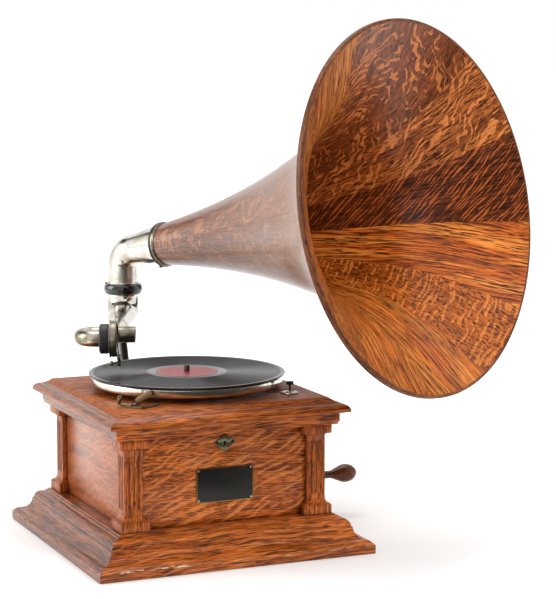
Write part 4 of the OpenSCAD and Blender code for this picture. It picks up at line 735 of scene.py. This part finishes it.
def hornPoint(t):
    reach = horn["mouthR"] - horn["lipR"] - horn["throatR"]
    return Vector((horn["throatR"] + reach * smoothly(flareAt, flareBy, t),
                   horn["throat"] + (horn["length"] - horn["lipS"]) * t))


def hornInner(t):
    if t == 0:
        return Vector((horn["throatR"] - horn["wall"], horn["throat"]))
    ahead = (hornPoint(t + 0.001) - hornPoint(t - 0.001)).normalized()
    return hornPoint(t) + horn["wall"] * Vector((-ahead.y, ahead.x))


# Wood of each stave, counted from the lowest one towards the crank side, up and round
staveWoods = ["speckled", "bright", "red", "flamed", "snake", "snake",
              "bright", "flamed", "speckled", "flamed", "bright", "bright"]
# Fleck share, fleck angle and tone of each stave
staveBoards = [(0.9, 1.5, 0.52), (0.15, 0.1, 0.57), (1.0, -0.65, 0.6), (0.9, -0.5, 0.6), (1.0, -0.9, 0.63),
               (1.0, 1.1, 0.56), (0.2, 0.2, 0.36), (0.8, 0.6, 0.46), (0.8, 1.4, 0.45), (0.8, -0.6, 0.46),
               (0.2, 0.3, 0.45), (0.1, 0.2, 0.47)]
# Rows crowd towards the mouth, where the flare bends most; seam is half the gap between two staves
stave = {"stations": 64, "across": 12, "crowd": 1.25, "seam": 0.06, "alongShift": 613, "acrossShift": 217,
         "depth": 3, "depthShift": 41}


def makeStaves():
    boards = []
    stations, across = stave["stations"], stave["across"]
    steps = [1 - (1 - i / stations) ** stave["crowd"] for i in range(stations + 1)]
    outerLine, innerLine = [hornPoint(t) for t in steps], [hornInner(t) for t in steps]
    along = lengths(outerLine)
    width = 360 / horn["staves"]
    row, back = across + 1, (across + 1) * (stations + 1)
    for j in range(horn["staves"]):
        points, faces, grain = [], [], []
        for side, line in ((0, outerLine), (1, innerLine)):
            for (r, s), l in zip(line, along):
                seam = math.degrees(stave["seam"] / r)
                for k in range(across + 1):
                    share = k / across
                    a = math.radians(horn["start"] + j * width + seam + share * (width - 2 * seam))
                    points.append((r * math.cos(a), r * math.sin(a), s))
                    grain.append((l + stave["alongShift"] * j,
                                  r * math.radians(width) * (share - 0.5) + stave["acrossShift"] * j,
                                  side * stave["depth"] + stave["depthShift"] * j))
        for side in (0, back):
            for i in range(stations):
                for k in range(across):
                    a = side + i * row + k
                    faces.append([a, a + 1, a + row + 1, a + row])
        for i in range(stations):
            for k in (0, across):
                a = i * row + k
                faces.append([a, a + row, a + row + back, a + back])
        for i in (0, stations):
            for k in range(across):
                a = i * row + k
                faces.append([a, a + 1, a + 1 + back, a + back])
        boards.append(shape(points, faces, grain))
    return boards


# The outside of every stave has weathered to the same mottled brown
def weather(piece):
    piece.data.materials.append(hornWoods["mottled"])
    back = axisFrame.inverted()
    for face in piece.data.polygons:
        centre, normal = back @ (face.center * 1000), back.to_3x3() @ face.normal
        if centre.x * normal.x + centre.y * normal.y > 0:
            face.material_index = 1


staveShapes = makeStaves()
for number, wood in enumerate(dict.fromkeys(staveWoods)):
    chosen = [j for j in range(horn["staves"]) if staveWoods[j] == wood]
    values = [staveBoards[j] for j in chosen for p in staveShapes[j]["points"]]
    staves = place(join(*[staveShapes[j] for j in chosen]), axisFrame)
    weather(makePiece(wood + "Staves", staves, hornWoods[wood], "horn",
                      [] if number else ["horn_staves"], board=values, smooth=40))

# Rim: a bent band over the staves' ends
rim = {"width": 8, "round": 2.2, "board": (0.15, 0.1, 0.45)}
mouthS = horn["throat"] + horn["length"]
rimLow = mouthS - rim["width"]
wallEnd, wallIn = hornPoint(1), hornInner(1)
rimStart = hornPoint(1 - (rim["width"] - horn["lipS"]) / (horn["length"] - horn["lipS"]))
rimSection = [tuple(rimStart + Vector((0.15, 0))), tuple(wallEnd + Vector((0.05, 0.05))),
              (wallIn.x + 0.3, wallIn.y + 0.3), (wallIn.x + 0.2, mouthS - 0.9),
              (horn["mouthR"] - 4.5, mouthS), (horn["mouthR"], mouthS), (horn["mouthR"], rimLow),
              (rimStart.x + 0.6, rimLow)]
rimBand = lathe(softened(rimSection, rim["round"], 5), 240, True, True)
makePiece("hornRim", place(rimBand, axisFrame), hornWoods["rim"], "horn", ["horn_rim"],
          board=rim["board"], smooth=60)

# Ferrule that holds the horn on the elbow, with a small step against the wood
collar = {"disc": 76.7, "start": 80.4, "end": 84.5, "r": 29.9, "step": 0.9, "discR": 30.3, "bore": 24.5}
collarSection = [(collar["bore"], collar["start"]), (collar["r"], collar["start"]),
                 (collar["r"], collar["end"] - 1.3), (collar["r"] - collar["step"], collar["end"] - 1.1),
                 (collar["r"] - collar["step"], collar["end"]), (collar["bore"], collar["end"])]
makePiece("hornFerrule", place(spun(collarSection, 0.35), axisFrame), gunmetal, "horn",
          ["horn_collar"])
print("horn made")

# Elbow: swept tube with a foot flange, a dark rolled end and a catch
elbow = {"low": 292.2, "flangeLow": 299.85, "flange": 2, "flangeBore": 18, "bend": 24, "r": 19.52, "steps": 8,
         "roll": 0.8, "catch": 67.5, "catchR": 2.6}
turn = 90 - horn["tilt"]
tilt = math.radians(horn["tilt"])
bendS = elbow["bend"] * math.tan(math.radians(turn / 2))
low, flange = elbow["low"] - horn["height"], elbow["flangeLow"] - horn["height"]
path = [(0, low), (0, flange + elbow["flange"] + 0.4), (0, -bendS)]
path += arc(elbow["bend"], -bendS, elbow["bend"], 180, 180 - turn, 20)[1:]
radii = [elbow["r"]] * len(path)
for i in range(1, elbow["steps"] + 1):
    s = bendS + (collar["disc"] - bendS) * i / elbow["steps"]
    path.append((s * math.cos(tilt), s * math.sin(tilt)))
    radii.append(elbow["r"] + (horn["throatR"] - elbow["r"]) * i / elbow["steps"])
footR, footTop = elbow["r"] + elbow["flange"], flange + elbow["flange"]
footSection = [(elbow["flangeBore"], flange), (footR, flange), (footR, footTop),
               (elbow["flangeBore"], footTop)]
makePiece("elbowTube", place(join(tube(path, radii, 80), spun(footSection, 0.6)), hornFrame), brightNickel,
          "horn", ["elbow"])
rollSection = [(collar["bore"], collar["disc"]), (collar["discR"], collar["disc"]),
               (collar["discR"], collar["start"]), (collar["bore"], collar["start"])]
makePiece("elbowRoll", place(spun(rollSection, elbow["roll"]), axisFrame), rubber, "horn")
catch = loft([ringAt(r, z, 24) for r, z in ((elbow["catchR"], 0), (elbow["catchR"], collar["discR"] - 0.6),
                                            (elbow["catchR"] - 0.6, collar["discR"]))])
makePiece("elbowCatch", place(catch, axisFrame @ moved(0, 0, elbow["catch"]) @ turned("Y", 90)), darkSteel,
          "horn")

# Tone arm: neck, bend and taper, with the cross tube at its end
path = [(0, arm["top"]), (0, arm["shoulder"]), (0, arm["shoulder"] - 0.01), (0, arm["height"] + arm["bend"])]
path += arc(arm["bend"], arm["height"] + arm["bend"], arm["bend"], 180, 270, 20)[1:]
radii = [arm["neckR"]] * 2 + [arm["bigR"]] * 22
for i in range(1, 13):
    path.append((arm["bend"] + (arm["reach"] - 3 - arm["bend"]) * i / 12, arm["height"]))
    radii.append(arm["bigR"] + (arm["smallR"] - arm["bigR"]) * i / 12)
makePiece("armTube", place(tube(path, radii, 80), armFrame), brightNickel, "tone_arm", ["tone_arm"])
acrossArm = armFrame @ moved(arm["reach"], 0, arm["height"]) @ turned("X", -90)
crossLow, crossHigh = arm["cross"]
crossSection = [(8.4, crossLow), (arm["smallR"], crossLow), (arm["smallR"], crossHigh), (7.4, crossHigh),
                (7.4, crossHigh - 1.5), (0.01, crossHigh - 1.5), (0.01, crossLow)]
makePiece("crossTube", place(spun(crossSection, 0.5, 72), acrossArm), gunmetal, "tone_arm")

# Gooseneck in the arm's own plane, then flange and sound box on its far leg. Sections are (radius, height)
neck = {"low": 16.3, "bendAt": 23.5, "bend": 18, "end": 12}
far = arm["reach"] + arm["gap"]
neckPath = [(arm["reach"], neck["low"])]
neckPath += arc(arm["reach"] + neck["bend"], neck["bendAt"], neck["bend"], 180, 0, 28) + [(far, neck["end"])]
neckTube = tube(neckPath, [arm["smallR"]] * len(neckPath), 64)
neckFrame = armFrame @ moved(0, 0, arm["height"]) @ turned("X", 90)
makePiece("gooseneckTube", place(neckTube, neckFrame), softNickel, "sound_head", ["gooseneck"])
head = {"flange": [(8.4, 0), (17.7, 0), (19.3, 1.4), (19.3, 10), (18.5, 10.8), (18.5, 13), (8.4, 13)],
        "box": [(7, 13), (24, 13), (24, 14.4), (22.9, 14.7), (22.9, 15.6), (23.2, 16), (23.2, 21.5), (22, 23),
                (19.2, 23), (19.2, 15), (7, 15)],
        "mica": [(0.01, 19.6), (19.2, 19.6), (19.2, 19.95), (0.01, 19.95)],
        "lug": (2, 5, 0.5), "lugLow": 22.5, "lugHigh": 27.1, "lugX": 3.5, "lugGap": 5.8, "lugY": 22.7}
boxFrame = armFrame @ moved(far, -18, arm["height"]) @ turned("X", -90)
makePiece("rubberFlange", place(spun(head["flange"], 0.6, 72), boxFrame), rubber, "sound_head",
          ["rubber_flange"])
lug = slab(roundedBox(*head["lug"]), head["lugLow"], head["lugHigh"])
lugs = [place(lug, moved(head["lugX"] + side * head["lugGap"], head["lugY"], 0)) for side in (-1, 1)]
makePiece("soundBox", place(join(spun(head["box"], 0.3), *lugs), boxFrame), gunmetal, "sound_head",
          ["sound_box"])
makePiece("micaDisc", place(spun(head["mica"], 0, 72), boxFrame), mica, "sound_head", ["diaphragm"])
dressNode("stylus_bar", "stylusBar", darkSteel, "stylus", (2, 0, 1), 0.15)
dressNode("needle", "needleSteel", steel, "stylus", (2, 0, 1), 0)
dressNode("needle_screw", "needleScrew", gunmetal, "needle_screw", (2, 0, 1), 0.1)
print("arm made")

# Bracket: wall plate, swept arm of rounded section, and the ring round the neck
ring = {"low": 285.05, "high": 299.55, "middle": 292.3, "bore": 19.58, "r": 22.5, "across": 4, "half": 7.25}
bracket = {"low": [(128.5, 118), (190, 118), (232, 150), (246, 200)],
           "high": [(246, 200), (256, 240), (282.6, 250), (276, 287.3)],
           "half": 12, "taper": 3.4, "width": 11, "edge": 3, "plateZ": 121}
wallSteps = ((44, 58, 0), (44, 58, 4), (42, 56, 5))  # width, height and how far out


def bezier(p, t):
    u = 1 - t
    shares = (u ** 3, 3 * u * u * t, 3 * u * t * t, t ** 3)
    return sum((Vector(q) * share for q, share in zip(p, shares)), Vector((0, 0)))


line = [bezier(bracket["low"], i / 20) for i in range(20)]
line += [bezier(bracket["high"], i / 20) for i in range(21)]
rings = []
for i, centre in enumerate(line):
    ahead = (line[min(i + 1, 40)] - line[max(i - 1, 0)]).normalized()
    half = bracket["half"] - bracket["taper"] * i / 40
    outline = roundedBox(bracket["width"], 2 * half - 0.3, bracket["edge"])
    rings.append([(x, centre.x - ahead.y * y, centre.y + ahead.x * y) for x, y in outline])
wall = loft([[(x, y, out) for x, y in softened(roundedBox(w, h, 4), 0.1)] for w, h, out in wallSteps])
wallPlate = place(wall, moved(0, case["out"], bracket["plateZ"]) @ turned("X", -90))
lugBlock = place(slab(roundedBox(11, 20, 1), 0, 11.5), moved(0, 274.1, ring["low"] + 1.5))
ringSection = [(ring["bore"], ring["low"]),
               *arc(ring["r"], ring["middle"], ring["across"], -90, 90, 14, ring["half"]),
               (ring["bore"], ring["high"])]
ringBody = place(spun(ringSection, 0.4), moved(0, arm["pivotY"], 0))
makePiece("bracketIron", join(loft(rings), wallPlate, lugBlock, ringBody), blackEnamel, "cabinet",
          ["bracket"])
heads = []
for x in (-15, 15):
    for z in (101, 141):
        wallAt = moved(x, case["out"] + 5, z) @ turned("X", -90)
        heads.append(place(screwHead(4, 2.4, 20 + z, 0.9), wallAt))
ringTop = moved(0, arm["pivotY"], ring["high"] - 0.5) @ turned("Z", 156) @ moved(23.7, 0, 0)
heads.append(place(screwHead(1.6, 1.6, 10, 0.5), ringTop))
grip = moved(0, arm["pivotY"], 289) @ turned("Z", 40) @ moved(25.8, 0, 0) @ turned("Y", 90)
heads.append(place(screwHead(2.6, 2, 40, 0.6), grip))
makePiece("bracketScrews", join(*heads), darkSteel, "cabinet", ["bracket_screws"])

# Turntable: nickel rim, felt, record, label and spindle. Sections are (radius, height)
turntable = {"platter": [(4, 200), (11, 200), (11, 209.2), (118.4, 209.2), (118.4, 200), (120, 200),
                         (121.7, 201.3), (122.5, 204), (122.5, 209.8), (121.8, 211), (4, 211)],
             "felt": [(3.8, 211), (121, 211), (121, 212), (3.8, 212)],
             "record": [(3.85, 212), (124.2, 212), (125, 212.7), (125, 213.5), (124.4, 214.1), (122.5, 214.1),
                        (121.5, 213.85), (52, 213.85), (50.5, 214.05), (3.85, 214.05)],
             "label": [(3.85, 214.05), (39.5, 214.05), (39.5, 214.2), (3.85, 214.2)]}
makePiece("platterRim", spun(turntable["platter"], 0.5, 192), brightNickel, "turntable",
          ["platter"])
makePiece("platterFelt", spun(turntable["felt"], 0, 160), felt, "turntable", ["platter_felt"])
makePiece("recordDisc", spun(turntable["record"], 0.3, 256), shellac, "turntable", ["record"])
makePiece("recordLabel", spun(turntable["label"]), labelPaper, "turntable", ["record_label"])
dressNode("spindle", "spindleSteel", darkSteel, "turntable", (2, 0, 1), 0)

# Speed control: flange on the board, stem and milled head
speed = {"x": 104, "y": -89, "low": 160.6, "stemR": 1.4, "head": 204, "headTop": 208, "headR": 4.7,
         "ridges": 22,
         "flange": [(1.5, 0), (11.5, 0), (11.5, 0.7), (10.5, 1.5), (4, 1.5), (3.4, 2.6), (1.5, 2.6)]}
speedAt = moved(speed["x"], speed["y"], case["deck"])
makePiece("speedFlange", place(spun(speed["flange"], 0.3, 64), speedAt), softNickel, "cabinet",
          ["speed_flange"])
stem = loft([ringAt(speed["stemR"], z, 24) for z in (speed["low"], speed["head"])])
knob = milled(speed["headR"], speed["head"], speed["headTop"], speed["ridges"])
makePiece("speedHead", place(join(stem, knob), moved(speed["x"], speed["y"], 0)), darkSteel, "speed_screw",
          ["speed_screw"])

# Brake
dressNode("brake_plate", "brakePlate", bronze, "cabinet", (2, 0, 1), 0.3)
dressNode("brake_lever", "brakeLever", bronze, "brake", (2, 0, 1), 0.25)
dressNode("brake_shoe", "brakeShoe", leather, "brake", (2, 0, 1), 0)

# Crank: bush in the wall, blade with its nut and stud, and the turned knob
crank = {"y": 20, "z": 118, "knobY": 29.98, "knobZ": 54.99, "x": 190, "knobX": 196.3, "knobL": 57,
         "knobR": 12, "bore": 44.5, "boreR": 3.1, "bossR": 8, "endR": 6.5, "thick": 6, "studR": 3,
         "nut": [(0.01, 6), (6, 6), (4.5, 9), (0.01, 9)],
         "bush": [(4.1, 114.5), (9.5, 114.5), (9.5, 126.5), (12, 126.5), (12, 127.7), (9, 128.9),
                  (4.1, 128.9)]}
alongX = turned("Y", 90)
makePiece("crankBush", place(spun(crank["bush"], 0.4, 64), moved(0, crank["y"], crank["z"]) @ alongX),
          softNickel, "cabinet", ["crank_bush"])
lean = math.degrees(math.atan2(crank["knobY"] - crank["y"], crank["z"] - crank["knobZ"]))
throw = math.hypot(crank["knobY"] - crank["y"], crank["z"] - crank["knobZ"])
thick = crank["thick"]
bladeRings = []
for cut, z in ((0.5, 0), (0.15, 0.15), (0, 0.5), (0, thick - 0.5), (0.15, thick - 0.15), (0.5, thick)):
    blade = arc(0, 0, crank["bossR"] - cut, 34, 326, 28) + arc(throw, 0, crank["endR"] - cut, -136, 136, 24)
    bladeRings.append([(x, y, z) for x, y in softened(blade, 3)])
crankFrame = moved(crank["x"], crank["y"], crank["z"]) @ turned("X", lean) @ alongX
stud = place(loft([ringAt(crank["studR"], z, 32) for z in (thick - 0.5, 50)]), moved(throw, 0, 0))
makePiece("crankBlade", place(join(loft(bladeRings), spun(crank["nut"], 0.5, 48), stud), crankFrame),
          softNickel, "crank", ["crank_arm"])
knobAt = [0, 0.1, 0.33, 0.5, 0.67, 0.84, 0.95, 1]
knobBy = [0.55, 0.5, 0.42, 0.71, 1, 0.93, 0.6, 0.28]  # share of the knob's radius
knobProfile = [(crank["boreR"], 0)]
knobProfile += [(crank["knobR"] * smoothly(knobAt, knobBy, i / 32), crank["knobL"] * i / 32)
                for i in range(33)]
knobProfile += [(0.01, crank["knobL"] + 0.5), (0.01, crank["bore"]), (crank["boreR"], crank["bore"])]
knobFrame = moved(crank["knobX"], crank["knobY"], crank["knobZ"]) @ alongX
makePiece("crankKnob", place(spun(knobProfile, 0, 72), knobFrame), knobWood, "crank_knob",
          ["crank_knob"], smooth=60, board=(0, 0, 0.5))

# Front fittings: bare plate with a brass line, lock plate, screws
plate = {"w": 75, "h": 43, "z": 93.5, "round": 3, "thick": 1, "line": 1.6, "lock": 145.5, "screwX": 34.5,
         "screwZ": 18.5}
face = slab(roundedBox(plate["w"] - 0.2, plate["h"] - 0.2, plate["round"]), 0, plate["thick"])
makePiece("namePlate", place(face, atFront(0, plate["z"])), plateEnamel, "cabinet",
          ["name_plate"], bevel=0.2)
outerLine = roundedBox(plate["w"], plate["h"], plate["round"])
innerLine = roundedBox(plate["w"] - plate["line"], plate["h"] - plate["line"],
                       plate["round"] - plate["line"] / 2)
lineRings = [[(x, y, z) for x, y in edge] for edge, z in
             ((outerLine, 0.2), (outerLine, 1.3), (innerLine, 1.4), (innerLine, 0.9))]
makePiece("plateLine", place(loft(lineRings, True), atFront(0, plate["z"])), brass, "cabinet")
dressNode("lock_plate", "lockPlate", lockNickel, "cabinet", (2, 0, 1), 0.45)
plateScrews = [place(screwHead(1.3, 0.9, 50 * x + 20 * z, 0.4),
                     atFront(x * plate["screwX"], plate["z"] + z * plate["screwZ"], plate["thick"]))
               for x in (-1, 1) for z in (-1, 1)]
makePiece("plateScrews", join(*plateScrews), brightNickel, "cabinet", ["small_screws"])
lockScrews = [place(screwHead(1.6, 0.8, 35 * x, 0.5), atFront(x * 10, plate["lock"], 1.1)) for x in (-1, 1)]
makePiece("lockScrews", join(*lockScrews), darkSteel, "cabinet")
deckScrews = [place(screwHead(1.6, 1, a, 0.5), speedAt @ turned("Z", a) @ moved(8, 0, 1.5))
              for a in (40, 220)]
for x, y in ((-103, -116), (-80, -103)):
    deckScrews.append(place(screwHead(2, 1.2, 25, 0.5), moved(x, y, case["deck"] + 1.8)))
makePiece("deckScrews", join(*deckScrews), bronze, "cabinet")
dressNode("lid_hinges", "lidHinges", bronze, "cabinet", (2, 0, 1), 0.15)
print("fittings made")

# The works inside: cut and cast parts get broken edges, wheels and shafts keep their CAD shape
works = {"lock_case": (bronze, 0.2), "lock_bolt": (steel, 0.2), "lock_strike": (bronze, 0.2),
         "spindle_wheel": (fibre, 0), "motor_top_plate": (motorPaint, 0.4),
         "motor_low_plate": (motorPaint, 0.4), "motor_pillars": (steel, 0.3), "motor_bolts": (steel, 0.2),
         "spring_barrel": (brass, 0), "mainspring": (steel, 0), "barrel_arbor": (steel, 0),
         "winding_wheel": (brass, 0), "intermediate_wheel": (brass, 0), "governor_shaft": (steel, 0),
         "governor_weights": (brass, 0), "governor_disc": (steel, 0.2),
         "governor_brackets": (motorPaint, 0.3), "friction_lever": (brass, 0.2),
         "friction_pad": (leather, 0.2), "crank_shaft": (steel, 0)}
bodyOf = {"lock_bolt": "lock_bolt", "governor_disc": "governor", "friction_lever": "friction_lever",
          "friction_pad": "friction_lever"}
for node, (material, bevel) in works.items():
    if bevel:
        dressNode(node, camelName(node), material, bodyOf.get(node, "cabinet"), bevel=bevel,
                  inner=False)
        continue
    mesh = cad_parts[node].data
    mesh.materials.clear()
    mesh.materials.append(material)
print("works made")

# Stage: pale floor and backdrop in one. Near the object the floor is lit, so its shadow shows; further out
# it goes over into the white behind
floorLook = {"near": 0.3, "far": 1.5, "nearFill": 0.18, "farFill": 0.6, "tone": "#f2f2f1", "other": "#f7f7f6"}


# 1 where the camera, a mirror or glass looks straight at the surface, 0 where it lights other things
def seenStraight(owner):
    rays = addNode(owner, "LightPath", None).outputs
    seen = rays["Is Camera Ray"]
    for kind in ("Is Glossy Ray", "Is Transmission Ray"):
        seen = addNode(owner, "Math", operation="MAXIMUM", i0=seen, i1=rays[kind])
    return seen


def stageFloor(name):
    paint, shader = newMaterial(name, Roughness=0.7, Specular_IOR_Level=0.1, Emission_Color=(1, 1, 1, 1))
    where = addNode(paint, "TexCoord", "Object")
    dust = addNode(paint, "TexNoise", Vector=where, Scale=4, Detail=3)
    tint = addNode(paint, "ValToRGB", stops=[(0.2, floorLook["tone"]), (0.8, floorLook["other"])], Fac=dust)
    away = addNode(paint, "VectorMath", "Value", operation="LENGTH", i0=where)
    fill = addNode(paint, "MapRange", interpolation_type="SMOOTHSTEP", Value=away, From_Min=floorLook["near"],
                   From_Max=floorLook["far"], To_Min=floorLook["nearFill"], To_Max=floorLook["farFill"])
    glow = addNode(paint, "Math", operation="MULTIPLY", i0=seenStraight(paint), i1=fill)
    link(paint, shader, Base_Color=tint, Emission_Strength=glow)
    return paint


def aimed(name, data, location, ahead):
    thing = bpy.data.objects.new(name, data)
    thing.location = location
    thing.rotation_euler = ahead.to_track_quat("-Z", "Y").to_euler()
    bpy.context.scene.collection.objects.link(thing)
    return thing


def card(name, size, location, target, material):
    mesh = bpy.data.meshes.new(name)
    corners = [(x * size[0] / 2, y * size[1] / 2, 0) for x, y in ((-1, -1), (1, -1), (1, 1), (-1, 1))]
    mesh.from_pydata(corners, [], [(0, 1, 2, 3)])
    mesh.materials.append(material)
    thing = aimed(name, mesh, location, Vector(target) - Vector(location))
    return thing


card("floor", (40, 40), (0, 0, -0.0005), (0, 0, -1), stageFloor("paleFloor"))

world = bpy.data.worlds.new("studio")
bpy.context.scene.world = world
world.use_nodes = True
skyLight = world.node_tree.nodes["Background"]
skyLight.inputs["Color"].default_value = (1, 1, 1, 1)
link(world, skyLight, Strength=addNode(world, "MapRange", Value=seenStraight(world), To_Min=0.5, To_Max=1.0))

middle = (0.05, 0.0, 0.3)
# The key lamp leaves no glare of its own on the front, so the wood keeps its depth
lamps = {"keyLight": {"at": (1.1, -2.2, 2.0), "size": (1.4, 1.4), "watts": 42, "glare": False},
         "leftLight": {"at": (-2.3, 0.9, 1.3), "size": (1.6, 1.8), "watts": 38, "glare": True},
         "topLight": {"at": (0.2, 0.6, 2.6), "size": (1.6, 1.6), "watts": 22, "glare": True}}
for name, lamp in lamps.items():
    light = bpy.data.lights.new(name, "AREA")
    light.shape = "RECTANGLE"
    light.size, light.size_y = lamp["size"]
    light.energy = lamp["watts"]
    softbox = aimed(name, light, lamp["at"], Vector(middle) - Vector(lamp["at"]))
    softbox.visible_glossy = lamp["glare"]

# Dark flags give bright metal its dark middle and keep the front wood deep; only mirrors see them
flagTone, _ = newMaterial("blackFlag", Roughness=0.9, Base_Color=colour("#1c1a18"))
flags = {"frontFlag": {"at": (0.9, -3.9, 1.3), "aim": middle, "size": (5, 3)},
         "lowFlag": {"at": (0.37, -2.0, 0.001), "aim": (0.37, -2.0, 1), "size": (4.25, 3.1)},
         "sideFlag": {"at": (2.6, 0.9, 1.0), "aim": middle, "size": (1.1, 2.6)},
         "backFlag": {"at": (-1.5, 2.3, 2.6), "aim": middle, "size": (2.3, 2.1)}}
for name, flag in flags.items():
    dark = card(name, flag["size"], flag["at"], flag["aim"], flagTone)
    dark.visible_camera = False
    dark.visible_diffuse = False
    dark.visible_shadow = False

# Camera where the photograph was taken from; focal is in pixels of the frame's long side
view = {"at": (-0.9533, -2.4719, 0.6594), "yaw": -23.6, "pitch": -7.6, "focal": 2103.9, "long": 599}
yaw, pitch = math.radians(view["yaw"]), math.radians(view["pitch"])
ahead = Vector((-math.sin(yaw) * math.cos(pitch), math.cos(yaw) * math.cos(pitch), math.sin(pitch)))
lens = bpy.data.cameras.new("camera")
lens.sensor_width = 36
lens.lens = lens.sensor_width * view["focal"] / view["long"]
lens.clip_end = 50
bpy.context.scene.camera = aimed("camera", lens, view["at"], ahead)
bpy.context.scene.view_settings.view_transform = "Standard"
print("stage set")
